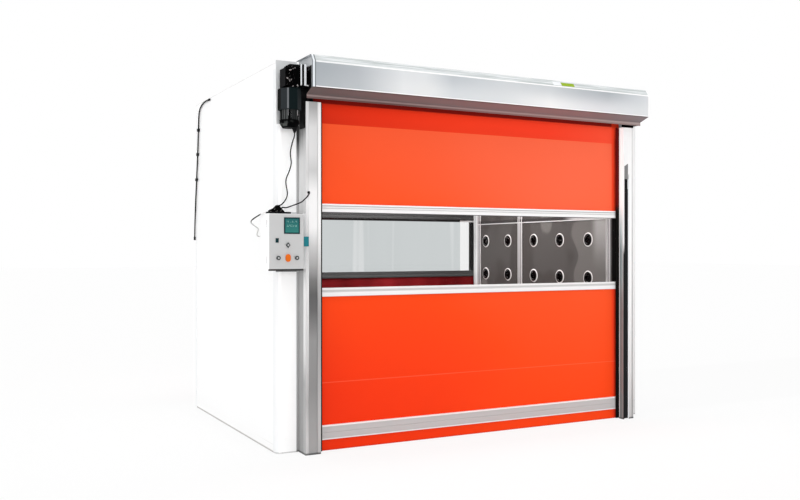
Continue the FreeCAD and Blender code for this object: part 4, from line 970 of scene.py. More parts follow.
class Piece:
    """Collects the faces of one visible piece, then makes the Blender object."""

    def __init__(self, name: str) -> None:
        """Starts an empty piece.

        Args:
            name: The piece's name.
        """
        self.name = name
        self.faces = bmesh.new()
        self.turn = Matrix.Identity(4)

    def _take(self, part: bmesh.types.BMesh) -> None:
        """Adds a finished part, turned with the piece."""
        part.transform(self.turn)
        mesh = bpy.data.meshes.new("part")
        part.to_mesh(mesh)
        part.free()
        self.faces.from_mesh(mesh)
        bpy.data.meshes.remove(mesh)

    def slab(self, low: Point, high: Point, edge: float = 0.0, steps: int = 2) -> "Piece":
        """Adds a box with rounded edges.

        Args:
            low: Lowest corner.
            high: Highest corner.
            edge: Radius of its edges.
            steps: Faces round each edge.

        Returns:
            The piece.
        """
        part = bmesh.new()
        bmesh.ops.create_cube(part, size=1.0)
        size = [b - a for a, b in zip(low, high)]
        centre = [(a + b) / 2 for a, b in zip(low, high)]
        bmesh.ops.transform(
            part, matrix=Matrix.Translation(centre) @ Matrix.Diagonal((*size, 1.0)), verts=part.verts
        )
        if edge > 0:
            reach = min(edge, min(size) * 0.49)
            bmesh.ops.bevel(
                part, geom=part.edges[:], offset=reach, segments=steps, profile=0.5, affect="EDGES"
            )
        self._take(part)
        return self

    def bar(
        self, outline: Sequence[Flat], low: float, high: float, axis: str = "x", edge: float = 0.0
    ) -> "Piece":
        """Adds an outline drawn along an axis.

        Args:
            outline: Points across the axis, (y, z), (x, z) or (x, y).
            low: Start along the axis.
            high: End along it.
            axis: x, y or z.
            edge: Radius of all its edges.

        Returns:
            The piece.
        """
        def put(place: float, flat: Flat) -> Point:
            """Point at a place along the axis."""
            across, up = flat
            if axis == "x":
                return place, across, up
            if axis == "y":
                return across, place, up
            return across, up, place
        part = bmesh.new()
        first = [part.verts.new(put(low, flat)) for flat in outline]
        last = [part.verts.new(put(high, flat)) for flat in outline]
        count = len(outline)
        for index in range(count):
            ahead = (index + 1) % count
            part.faces.new((first[index], first[ahead], last[ahead], last[index]))
        part.faces.new(first[::-1])
        part.faces.new(last)
        bmesh.ops.recalc_face_normals(part, faces=part.faces[:])
        if edge > 0:
            bmesh.ops.bevel(
                part, geom=part.edges[:], offset=edge, segments=2, profile=0.5, affect="EDGES",
                clamp_overlap=True,
            )
        self._take(part)
        return self

    def lathe(
        self, outline: Sequence[Flat], centre: Point, direction: Point = (0, 0, 1), steps: int = 24,
        closed: bool = False,
    ) -> "Piece":
        """Adds a turned form.

        Args:
            outline: Points (radius, place along the direction).
            centre: Where place 0 is.
            direction: The axis's direction.
            steps: Faces round it.
            closed: Whether the outline's end joins its start.

        Returns:
            The piece.
        """
        part = bmesh.new()
        rings = []
        for radius, along in outline:
            if radius <= 1e-6:
                rings.append([part.verts.new((0.0, 0.0, along))])
                continue
            ring = []
            for step in range(steps):
                angle = math.tau * step / steps
                ring.append(part.verts.new((radius * math.cos(angle), radius * math.sin(angle), along)))
            rings.append(ring)
        pairs = list(zip(rings, rings[1:]))
        if closed:
            pairs.append((rings[-1], rings[0]))
        for lower, upper in pairs:
            for step in range(steps):
                ahead = (step + 1) % steps
                corners = [lower[step % len(lower)], lower[ahead % len(lower)]]
                corners += [upper[ahead % len(upper)], upper[step % len(upper)]]
                unique = list(dict.fromkeys(corners))
                if len(unique) > 2:
                    part.faces.new(unique)
        turn = Vector(direction).normalized().to_track_quat("Z", "Y").to_matrix().to_4x4()
        part.transform(Matrix.Translation(centre) @ turn)
        bmesh.ops.recalc_face_normals(part, faces=part.faces[:])
        self._take(part)
        return self

    def screw(self, centre: Point, direction: Point, radius: float, height: float = 0.0) -> "Piece":
        """Adds a domed screw head with a socket in it.

        Args:
            centre: Where it meets the surface.
            direction: Out of the surface.
            radius: The head's radius.
            height: The head's height, from its radius if 0.

        Returns:
            The piece.
        """
        tall = height or radius * 0.62
        dome = [
            (radius, 0.0), (radius, tall * 0.35), (radius * 0.86, tall * 0.8), (radius * 0.55, tall),
            (radius * 0.46, tall), (radius * 0.42, tall * 0.45), (0.0, tall * 0.4),
        ]
        return self.lathe(dome, centre, direction, 12)

    def grid(
        self, corner: Point, across: Point, up: Point, columns: int, rows: int,
        depth: Callable[[float, float], float], outward: Point,
    ) -> "Piece":
        """Adds a sheet of small faces, each point moved outward by a depth.

        Args:
            corner: First corner.
            across: Vector along its width.
            up: Vector along its height.
            columns: Faces across.
            rows: Faces up.
            depth: Distance outward at each share (across, up).
            outward: Direction of the depth.

        Returns:
            The piece.
        """
        part = bmesh.new()
        points = []
        for row in range(rows + 1):
            line = []
            for column in range(columns + 1):
                s, t = column / columns, row / rows
                at = Vector(corner) + Vector(across) * s + Vector(up) * t
                line.append(part.verts.new(at + Vector(outward) * depth(s, t)))
            points.append(line)
        for row in range(rows):
            for column in range(columns):
                part.faces.new((
                    points[row][column], points[row][column + 1],
                    points[row + 1][column + 1], points[row + 1][column],
                ))
        self._take(part)
        return self

    def done(
        self,
        finish: Finish,
        body: str,
        slot: str,
        replaces: Sequence[str] = (),
        shading: Kind = Kind.SOFT,
    ) -> bpy.types.Object:
        """Makes the object, dresses it and hangs it on its body.

        Args:
            finish: Its finish.
            body: CAD body that it rides on.
            slot: Material slot of the record; not used.
            replaces: CAD nodes that it stands for.
            shading: How far faces may turn and still look smooth.

        Returns:
            The Blender object.
        """
        limit = math.radians(shading.value)
        self.faces.normal_update()
        for face in self.faces.faces:
            face.smooth = True
        for edge in self.faces.edges:
            edge.smooth = len(edge.link_faces) == 2 and edge.calc_face_angle(math.pi) < limit
        mesh = bpy.data.meshes.new(self.name)
        self.faces.to_mesh(mesh)
        self.faces.free()
        thing = bpy.data.objects.new(self.name, mesh)
        bpy.context.scene.collection.objects.link(thing)
        mesh.materials.append(finish.material())
        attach(thing, body)
        if replaces:
            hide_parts(*replaces)
        log.info("%s on %s: %d faces", self.name, body, len(mesh.polygons))
        return thing


def dress(finish: Finish, *nodes: str) -> None:
    """Gives CAD nodes a finish.

    Args:
        finish: The finish.
        nodes: Names of the nodes.
    """
    for name in nodes:
        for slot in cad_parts[name].material_slots:
            slot.material = finish.material()
    log.info("%s: %s", finish.name, ", ".join(nodes))


JAMB_PAINT = Jamb("white jamb coat", srgb(240, 241, 242), 0.4)
OUTER_PAINT = Wall("white wall coat", srgb(250, 250, 250), 0.4)
BOX_PAINT = BoxPaint("light grey texture coat", srgb(195, 196, 196), 0.5, 500.0, 0.0002)
PLATE_PAINT = PlatePaint("pale grey plate coat", srgb(216, 218, 219), 0.5)
SKIRT_PAINT = Skirt("white skirting coat", srgb(252, 252, 252), 0.4)
# Tones of the hood's front: painted reflections along its length.
HOOD_UPPER = tones(
    (-1.40, 172, 178, 184), (-1.25, 178, 184, 189), (-1.05, 189, 194, 199), (-0.78, 232, 235, 237),
    (-0.62, 232, 235, 237), (-0.40, 200, 206, 211), (0.0, 217, 221, 224), (0.44, 214, 218, 221),
    (0.75, 192, 197, 202), (0.95, 182, 188, 193), (1.23, 214, 218, 222), (1.40, 232, 235, 237),
)
HOOD_LOWER = tones(
    (-1.40, 178, 184, 189), (-1.05, 196, 201, 205), (-0.78, 240, 242, 243), (-0.55, 240, 242, 242),
    (-0.38, 225, 229, 232), (0.0, 230, 233, 235), (0.44, 252, 252, 252), (0.90, 234, 234, 237),
    (1.23, 230, 233, 235), (1.40, 236, 238, 239),
)
HOOD = HoodCoat("hood silver coat", HOOD_UPPER, HOOD_LOWER)
END_PLATE = EndPlate("dark hood end plate")
REAR_HOOD = HoodCoat("rear hood silver coat", HOOD_UPPER, HOOD_LOWER, -1.0)
# Tone tables of the columns: painted reflections and painted shade up each zone's height, darker under the
# hood.
SIDE_TONES = tones(
    (0.05, 154), (0.45, 152), (0.7, 166), (1.1, 168), (1.35, 206), (1.62, 212), (1.75, 218),
    (1.9, 214), (2.05, 146), (2.2, 120),
)
LEFT_ZONES = (
    Zone(-1.0, tones(
        (0.05, 152), (0.9, 168), (1.2, 180), (1.5, 212), (1.66, 226), (1.90, 220), (2.06, 120),
        (2.2, 96),
    )),
    Zone(-0.092, SIDE_TONES),
    Zone(-0.041, tones(
        (0.1, 176), (0.45, 170), (0.68, 222), (1.05, 236), (1.4, 206), (1.6, 222), (1.9, 210),
        (2.2, 140),
    )),
    Zone(0.0, tones(
        (0.1, 206), (0.33, 182), (0.68, 208), (1.05, 222), (1.4, 204), (1.62, 244), (1.8, 214),
        (2.0, 228), (2.2, 230),
    )),
    Zone(0.014, tones(
        (0.1, 200), (0.33, 172), (0.68, 214), (1.05, 244), (1.4, 208), (1.62, 244), (1.8, 208),
        (2.2, 228),
    )),
    Zone(0.021, tones(
        (0.05, 164), (0.2, 158), (0.42, 142), (0.74, 148), (0.93, 104), (1.03, 96), (1.12, 120),
        (1.22, 170), (1.34, 204), (1.46, 246), (1.68, 246), (1.82, 204), (1.92, 222), (2.08, 226),
        (2.2, 180),
    )),
    Zone(0.077, tones((0.2, 160), (1.0, 128), (1.3, 190), (1.5, 214), (1.8, 190), (2.2, 214))),
    Zone(0.084, tones((0.2, 190), (0.9, 160), (1.1, 178), (1.35, 230), (1.5, 250), (2.2, 250))),
)
# The right column's first zone and the strip at the front face's inner edge are black for the painted shade
# of the guide's groove and slot.
RIGHT_ZONES = (
    Zone(-1.0, tones((0.1, 8), (1.8, 6), (2.2, 40, 2, 2))),
    Zone(-0.0595, tones((0.1, 255), (2.2, 255))),
    Zone(-0.038, tones(
        (0.1, 132, 140, 140), (0.53, 132, 142, 142), (1.3, 142, 150, 152), (1.5, 206, 216, 216),
        (1.66, 246, 252, 252), (2.2, 248, 254, 254),
    )),
    Zone(-0.008, tones((0.1, 150), (0.6, 156), (1.2, 166), (1.5, 230), (1.66, 252), (2.2, 252))),
    Zone(0.002, tones((0.1, 10), (1.28, 12), (1.36, 240), (2.2, 252))),
    Zone(0.045, tones((0.05, 200), (0.4, 224), (0.9, 244), (1.4, 251), (2.2, 252))),
    Zone(0.086, tones((0.1, 140), (0.4, 156), (0.9, 168), (1.5, 196), (2.2, 222))),
    Zone(0.096, tones((0.1, 206), (0.4, 224), (0.9, 236), (2.2, 244))),
)
COLUMN_GRAIN = (260.0, 260.0, 2.0)
COLUMN_LEFT = ColumnAlloy(
    "left column alloy", grey(200), COLUMN_GRAIN, 0.5, 0.05, 0.0, 0.12, LEFT_ZONES,
    lift=0.28, lift_low=(1.178, 1.186), lift_top=1.53,
)
COLUMN_RIGHT = ColumnAlloy(
    "right column alloy", grey(220), COLUMN_GRAIN, 0.5, 0.04, 0.0, 0.12, RIGHT_ZONES,
    corner=(1.252, -1.113), lift=0.42,
)
# The flanges' tones darken at the top for the painted shade under the hood.
FLANGE_ALLOY = ColumnAlloy(
    "column flange alloy", grey(170), COLUMN_GRAIN, 0.5, 0.05, 0.0, 0.12,
    (Zone(-3.0, tones((0.05, 160), (1.0, 176), (1.6, 180), (1.9, 170), (2.03, 60))),)
)
COLUMN_REAR = ColumnAlloy(
    "rear column alloy", grey(200), COLUMN_GRAIN, 0.5, 0.05, 0.0, 0.12, LEFT_ZONES,
    corner=(1.356, 1.113), turn=-1.0,
)
RAIL_GRAIN = (2.0, 300.0, 300.0)
# Rail tones from foot to top: painted highlights on bright edges, and painted shade in grooves and along
# the foot.
UPPER_BANDS = tones(
    (0.0, 60), (0.04, 70), (0.08, 250), (0.42, 246), (0.46, 214), (0.52, 212), (0.56, 238),
    (0.68, 240), (0.72, 184), (0.80, 180), (0.84, 250), (1.0, 252),
)
LOWER_BANDS = tones(
    (0.0, 120), (0.04, 236), (0.40, 246), (0.50, 240), (0.54, 206), (0.72, 196), (0.80, 234),
    (1.0, 240),
)
BOTTOM_BANDS = tones(
    (0.0, 150), (0.03, 240), (0.07, 236), (0.11, 192), (0.5, 196), (0.88, 190), (0.92, 244),
    (1.0, 252),
)
# Painted shade of the rails' inner side.
INNER_BANDS = tones((0.0, 60), (0.3, 84), (0.6, 76), (1.0, 70))


def rail(name: str, bands: Stops, low: float, tall: float) -> RailAlloy:
    """One rail's finish.

    Args:
        name: The finish's name.
        bands: Tones from its foot (0) to its top (1).
        low: Height of its foot.
        tall: Its height.

    Returns:
        The finish.
    """
    outward = 1.0 if name.startswith("rear") else -1.0
    return RailAlloy(name, grey(220), RAIL_GRAIN, 0.5, 0.03, 0.0, 0.12, bands, low, tall, outward)


STAINLESS = Stainless("brushed stainless", srgb(94, 90, 88), (260.0, 2.0, 260.0), 0.5, 0.12, 0.0, 0.1)
POST_ALLOY = PostAlloy("cabin post alloy", srgb(158, 155, 156), (60.0, 60.0, 2.0), 0.5, 0.1, 0.0, 0.12)
RING_METAL = RingMetal("nozzle ring metal", srgb(244, 240, 238), (20.0, 20.0, 20.0), 0.4, 0.1, 0.0, 0.3)
# Bright and grey copies of the cover strips' aluminium: painted highlight on the ribs and painted shade in
# the grooves.
TRIM_METAL = Brushed("bright cover strip", srgb(232, 229, 228), (60.0, 60.0, 2.0), 0.4, 0.1, 0.0, 0.3)
GROOVE_METAL = Brushed("grey cover strip", srgb(140, 135, 133), (60.0, 60.0, 2.0), 0.4, 0.2, 0.0, 0.2)
DIM_STEEL = Brushed("dim floor steel", srgb(92, 88, 86), (2.0, 260.0, 260.0), 0.34, 0.25, 0.8)
ZINC = Brushed("galvanised sheet", srgb(150, 152, 154), (12.0, 12.0, 12.0), 0.42, 0.3, 0.8)
# The painted_glints values below paint white glints into the dark finishes.
DARK_CAST = CastDark("dark cast paint", glint=0.7)
GLOSS_CAST = CastDark("gloss black casting", (0.001, 0.001, 0.0012), painted_glints=0.6)
TRIM_PAINT = Paint("bright plate edge", srgb(244, 247, 250), 0.4)
BALL_BLACK = CastDark("dark nozzle ball", (0.002, 0.001, 0.001), painted_glints=0.25)
CURTAIN = CurtainCloth("orange coated cloth")
REAR_CURTAIN = CurtainCloth("rear orange coated cloth", outward=1.0)
CLEAR = ClearSheet("clear window sheet")
REAR_CLEAR = ClearSheet(
    "rear clear window sheet", (0.70, 0.73, 0.735), strips=((1.105, 1.262),), hems=((1.571, 1.595),)
)
RUBBER = Moulded("black cable rubber", (0.004, 0.004, 0.004), 0.5, wear=0.02)
WALL_RUBBER = CableRubber("wall cable rubber", (0.004, 0.004, 0.004), 0.5, wear=0.02)
BLACK_PLASTIC = Moulded("black plastic", (0.004, 0.004, 0.005), 0.45, wear=0.02)
BOOT = CastDark("moulded entry boot", (0.0015, 0.0015, 0.0015), painted_glints=0.3)
GLAND_PLASTIC = GlandPlastic("black gland plastic", (0.004, 0.004, 0.005), 0.45, wear=0.02)
DARK_KEY = Moulded("dark key plastic", srgb(60, 66, 66), 0.35)
ORANGE_KEY = Moulded("orange key plastic", srgb(224, 106, 20), 0.4, wear=0.03)
TEAL_PLASTIC = Moulded("teal sensor plastic", srgb(30, 122, 132), 0.45, wear=0.04)
BRISTLE = Bristle("brush hair", (0.004, 0.003, 0.003), 0.8, 3000.0, 0.0008, wear=0.01)
FILTER = Moulded("filter cloth", srgb(225, 224, 215), 0.9, 300.0, 0.002)
# Dark strip under the control box: painted shade.
SHADOW_STRIP_BLACK = Moulded("painted shadow strip", grey(50), 0.5, wear=0.02)
GAP_GREY = Moulded("grey slot cover", grey(126), 0.5, wear=0.1)
KEY_GREY = Moulded("pale key centre", grey(186), 0.5, wear=0.1)
TAG_GREEN = Moulded("green tag", srgb(150, 178, 40), 0.5, wear=0.05)
LAMP = Lamp("opal lamp face")
SCREEN = Screen("teal screen")
BRACKET = BracketCoat("motor bracket coat")


@dataclass
class Cabin:
    """The cabin's walls, roof, frame, nozzles and lamps."""

    half_width: float = 1.508
    wall_face: float = 1.270
    nozzle_rows: int = 4
    first_row: float = 0.765
    row_pitch: float = 0.31
    columns: tuple[float, ...] = (-0.677, -0.307, 0.063, 0.463, 0.833)
    ball: float = 0.036
    covers: tuple[Flat, ...] = ((0.263, 0.032), (-0.925, 0.022), (0.945, 0.028))
    cover_foot: float = 0.10
    cover_top: float = 2.27

    def build(self) -> None:
        """Dresses the cabin's nodes and adds its small parts."""
        dress(OUTER_PAINT, "left_outer_panel", "right_outer_panel", "roof_panel")
        dress(JAMB_PAINT, "corner_posts")
        dress(JAMB_PAINT, "door_frames", "ceiling_panel")
        dress(SKIRT_PAINT, "base_frame")
        dress(DIM_STEEL, "floor_plate")
        dress(STAINLESS, "left_nozzle_wall", "right_nozzle_wall", "return_grilles")
        dress(POST_ALLOY, "wall_posts")
        dress(RING_METAL, "left_nozzles", "right_nozzles")
        dress(FILTER, "air_filters")
        dress(ZINC, "fan_housings", "left_fan_impeller", "right_fan_impeller")
        dress(LAMP, "ceiling_lights")
        self.nozzle_balls()
        self.cover_strips()

    def cover_strips(self) -> None:
        """Grooved cover strips over the joints of the inner walls: the grooves in a grey copy of the
        aluminium for painted shade, and bright ribs in a pale copy for painted highlights.
        """
        face = self.wall_face - 0.001
        for name, finish, ribs, proud in (
            ("cover_strips", GROOVE_METAL, ((-1.0, 1.0),), 0.004),
            ("cover_ribs", TRIM_METAL, ((-1.0, -0.62), (0.1, 0.35), (0.7, 1.0)), 0.008),
        ):
            piece = Piece(name)
            for side in (-1, 1):
                ends = sorted((side * face, side * (face - proud)))
                for middle, half in self.covers:
                    for low, high in ribs:
                        foot = (ends[0], middle + half * low, self.cover_foot)
                        top = (ends[1], middle + half * high, self.cover_top)
                        piece.slab(foot, top, 0.0008)
            piece.done(finish, "cabin", "stainless")

    def nozzle_balls(self) -> None:
        """Dark ball in each nozzle's ring, with its own bore."""
        for side, name in ((-1, "left"), (1, "right")):
            piece = Piece(f"{name}_nozzle_balls")
            outline = []
            for step in range(7):
                angle = math.radians(20 + 70 * step / 6)
                outline.append((self.ball * math.sin(angle), -self.ball * math.cos(angle)))
            outline += [(self.ball * 0.9, 0.012), (self.ball * 0.5, 0.012), (self.ball * 0.34, -0.02)]
            for y in self.columns:
                for row in range(self.nozzle_rows):
                    z = self.first_row + self.row_pitch * row
                    centre = (side * (self.wall_face + 0.014), y, z)
                    piece.lathe(outline, centre, (side, 0.12, -0.1), 16, closed=True)
            piece.done(BALL_BLACK, "cabin", "black_metal", shading=Kind.ROUND)


@dataclass
class RollDoor:
    """One roll-up door: curtain, window, rails, columns and hood."""

    end: str
    raised: float = 0.0
    half_width: float = 1.275
    curtain_line: float = 0.048
    cloth_thickness: float = 0.0012
    rail_top: float = 0.056
    lower_rail: float = 0.999
    upper_rail: float = 1.545
    bottom_rail: float = 0.073
    bottom_tall: float = 0.094
    drum_level: float = 2.395
    seam: float = 0.441
    park_top: float = 0.043
    slot_top: float = 1.846
    column_face: float = -0.1228

    @property
    def front(self) -> bool:
        """Whether this is the front door."""
        return self.end == "front"

    @property
    def orange(self) -> CurtainCloth:
        """This door's cloth."""
        return CURTAIN if self.front else REAR_CURTAIN

    def turned(self, piece: Piece) -> Piece:
        """Sets a piece's parts to be made in the door's own frame."""
        sign = -1.0 if self.front else 1.0
        turn = Matrix.Identity(4) if self.front else Matrix.Rotation(math.pi, 4, "Z")
        piece.turn = Matrix.Translation((0.0, sign * HALF_DEPTH, 0.0)) @ turn
        return piece

    def piece(self, name: str) -> Piece:
        """Starts a piece of this door."""
        return self.turned(Piece(f"{self.end}_{name}"))

    def cloth(
        self, name: str, low: float, high: float, seam: float | None = None, layers: int = 2
    ) -> Piece:
        """A hanging sheet between two heights, barely waved, with a welded seam where it has one."""
        random.seed(len(name))
        phases = [random.uniform(0, math.tau) for _ in range(4)]

        def depth(s: float, t: float) -> float:
            """How far the sheet stands out at a place."""
            held = math.sin(math.pi * min(max(t, 0.0), 1.0))
            wave = math.sin(s * 9 + phases[0]) * math.sin(t * 4 + phases[1])
            wave += 0.5 * math.sin(s * 21 + t * 5 + phases[2])
            out = 0.0014 * held * wave
            if seam is not None:
                place = low + (high - low) * t
                out += 0.0016 * math.exp(-((place - seam) / 0.006) ** 2)
            return out

        rows = max(12, int((high - low) / 0.02))
        wide, tall = self.half_width * 2, high - low
        piece = self.piece(name)
        outer = (-self.half_width, -self.curtain_line, low)
        inner = (self.half_width, self.cloth_thickness - self.curtain_line, low)
        piece.grid(outer, (wide, 0, 0), (0, 0, tall), 64, rows, depth, (0, -1, 0))
        if layers > 1:
            piece.grid(
                inner, (-wide, 0, 0), (0, 0, tall), 64, rows, lambda s, t: depth(1 - s, t), (0, -1, 0)
            )
        return piece

    def sheets(self) -> None:
        """Curtain above and below the window, and the window."""
        lower = self.lower_rail + self.raised
        upper = self.upper_rail + self.raised
        tall = self.rail_top
        bottom = self.bottom_rail + self.bottom_tall
        width = self.half_width * 2
        top = self.cloth("upper_sheet", upper + tall, self.drum_level).done(
            self.orange, "cabin", "orange_curtain", (f"{self.end}_upper_curtain",), Kind.ROUND
        )
        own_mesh(top)
        glass = CLEAR if self.front else REAR_CLEAR
        window = self.cloth("window_sheet", lower + tall, upper, layers=1).done(
            glass, f"{self.end}_upper_bar", "clear_sheet", (f"{self.end}_window",), Kind.ROUND
        )
        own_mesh(window)
        low = self.cloth("lower_sheet", bottom, lower, self.seam).done(
            self.orange, f"{self.end}_lower_bar", "orange_curtain", (f"{self.end}_lower_curtain",),
            Kind.ROUND,
        )
        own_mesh(low)

    def build(self) -> None:
        """Builds the door and dresses its nodes."""
        self.sheets()
        for kind, bands, low, tall in (
            ("upper", UPPER_BANDS, self.upper_rail + self.raised, self.rail_top),
            ("lower", LOWER_BANDS, self.lower_rail + self.raised, self.rail_top),
            ("bottom", BOTTOM_BANDS, self.bottom_rail, self.bottom_tall),
        ):
            finish = rail(f"{self.end} {kind} rail alloy", bands, low, tall)
            dress(finish, f"{self.end}_{kind}_rail")
        dress(ZINC, f"{self.end}_drum")
        if self.front:
            dress(CURTAIN, "front_bottom_hem")
            dress(COLUMN_LEFT, "front_left_column")
            dress(COLUMN_RIGHT, "front_right_column")
            dress(HOOD, "front_hood")
            dress(END_PLATE, "hood_end_plates")
            dress(BRISTLE, "guide_brushes")
            dress(BLACK_PLASTIC, "light_curtain")
            self.small_parts()
        else:
            dress(COLUMN_REAR, "rear_columns")
            dress(REAR_HOOD, "rear_hood")

    def small_parts(self) -> None:
        """Tag and clip on the hood, slot trim and cover, flange strips and screws."""
        tag = self.piece("hood_tag")
        plate = self.piece("hood_clip")
        section = ((-0.2705, 2.4785), (-0.2520, 2.5048), (-0.2510, 2.5040), (-0.2695, 2.4778))
        for piece, start, end in ((tag, 0.552, 0.668), (plate, 0.478, 0.545)):
            piece.bar(section, start, end, "x", 0.0003)
        tag.done(TAG_GREEN, "cabin", "grey_hood")
        plate.done(TRIM_PAINT, "cabin", "grey_hood")
        trim = self.piece("slot_trim")
        top, face = self.slot_top, self.column_face
        trim.slab((1.3035, face, 0.004), (1.3112, face + 0.0058, top), 0.001)
        gap = self.piece("slot_gap")
        outline = ((1.264, top), (1.264, top + 0.098), (1.300, top + 0.120), (1.300, top))
        gap.bar(outline, -0.1236, face, "y")
        gap.done(GAP_GREY, "cabin", "column_alloy")
        flange = self.piece("column_flanges")
        flange.slab((-1.3722, -0.0040, 0.004), (-1.3555, 0.0, 2.100), 0.0006)
        flange.slab((1.3555, -0.0040, 0.004), (1.3722, 0.0, 2.200), 0.0006)
        flange.done(FLANGE_ALLOY, "cabin", "column_alloy")
        for z in (2.19, 1.87, 1.20, 0.62, 0.12):
            trim.screw((1.480, 0.0, z), (0.0, -1.0, 0.0), 0.006)
            trim.screw((-1.450, 0.0, z - 0.03), (0.0, -1.0, 0.0), 0.004)
        trim.done(TRIM_PAINT, "cabin", "column_alloy")


@dataclass
class Drive:
    """The front door's gear motor and the rear one's dress."""

    def build(self) -> None:
        """Dresses the drives."""
        dress(DARK_CAST, "motor_gearbox", "motor_body", "rear_gearmotor")
        dress(BRACKET, "motor_bracket")
        dress(PLATE_PAINT, "mounting_plates")
        self.loops()
        self.edges()

    def loops(self) -> None:
        """Cable loops, bosses and the release lever on the gear housing's face."""
        piece = RollDoor("front").piece("gear_loops")
        for x, z, radius, tube in (
            (-1.490, 2.430, 0.016, 0.005), (-1.476, 2.404, 0.019, 0.005), (-1.492, 2.380, 0.015, 0.0045),
            (-1.470, 2.372, 0.014, 0.0045), (-1.484, 2.350, 0.016, 0.005), (-1.462, 2.432, 0.012, 0.004),
        ):
            ring = []
            for step in range(8):
                angle = math.tau * step / 8
                ring.append((radius + tube * math.cos(angle), tube * math.sin(angle)))
            piece.lathe(ring, (x, -0.176, z), (-0.45, -1.0, 0.25), 20, closed=True)
            piece.screw((x, -0.170, z), (-0.1, -1.0, 0.1), radius * 0.5, 0.008)
        piece.slab((-1.500, -0.180, 2.326), (-1.486, -0.168, 2.352), 0.004)
        piece.slab((-1.474, -0.182, 2.318), (-1.420, -0.166, 2.336), 0.005)
        piece.done(GLOSS_CAST, "cabin", "dark_metal", shading=Kind.ROUND)

    def edges(self) -> None:
        """Bright folded edges of the bracket plates, and a black strip for the painted shade in the gap
        between them.
        """
        piece = RollDoor("front").piece("bracket_edges")
        piece.slab((-1.4115, -0.179, 2.336), (-1.4035, -0.176, 2.462), 0.0008)
        piece.slab((-1.3880, -0.179, 2.330), (-1.3735, -0.176, 2.462), 0.0008)
        piece.done(TRIM_PAINT, "cabin", "bright_steel")
        # Painted shade: a black strip in the gap between the bright edges.
        gap = RollDoor("front").piece("bracket_gap")
        gap.slab((-1.4036, -0.1780, 2.330), (-1.3880, -0.1772, 2.462), 0.0002)
        gap.done(BLACK_PLASTIC, "cabin", "dark_metal")


@dataclass
class ControlBox:
    """Control box with its door, display and buttons."""

    def build(self) -> None:
        """Dresses the box."""
        dress(BOX_PAINT, "control_box_shell", "control_box_door")
        dress(SCREEN, "control_display")
        dress(DARK_KEY, "open_button", "up_button", "down_button")
        dress(ORANGE_KEY, "stop_button")
        dress(TEAL_PLASTIC, "door_sensor")
        self.boot()
        self.shadow_strip()
        self.key_centres()

    def key_centres(self) -> None:
        """Pale centres of the up, down and open keys."""
        disc = [(0.0, 0.0), (0.0058, 0.0), (0.0052, 0.0006), (0.0, 0.0008)]
        for key, x, z in (("up", -1.550, 1.252), ("down", -1.428, 1.252), ("open", -1.487, 1.332)):
            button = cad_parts[f"{key}_button"]
            face = min((button.matrix_world @ Vector(corner)).y for corner in button.bound_box)
            piece = Piece(f"{key}_key_centre")
            piece.lathe(disc, (x, face, z), (0, -1, 0), 16)
            piece.done(KEY_GREY, f"{key}_key", "black_plastic")

    def shadow_strip(self) -> None:
        """Dark strip under the box, standing for the painted shade of the gap beneath it."""
        piece = RollDoor("front").piece("box_shadow_strip")
        piece.slab((-1.6115, -0.1490, 1.1725), (-1.3805, -0.1420, 1.1800), 0.0015)
        piece.done(SHADOW_STRIP_BLACK, "cabin", "black_rubber")

    def boot(self) -> None:
        """Black moulded boot where the cables enter the box."""
        piece = RollDoor("front").piece("entry_boot")
        outline = (
            (-1.590, 1.5395), (-1.580, 1.553), (-1.556, 1.564), (-1.536, 1.584),
            (-1.524, 1.582), (-1.506, 1.560), (-1.492, 1.548), (-1.488, 1.5395),
        )
        piece.bar(outline, -0.101, -0.066, "y", 0.003)
        piece.done(BOOT, "cabin", "black_rubber")


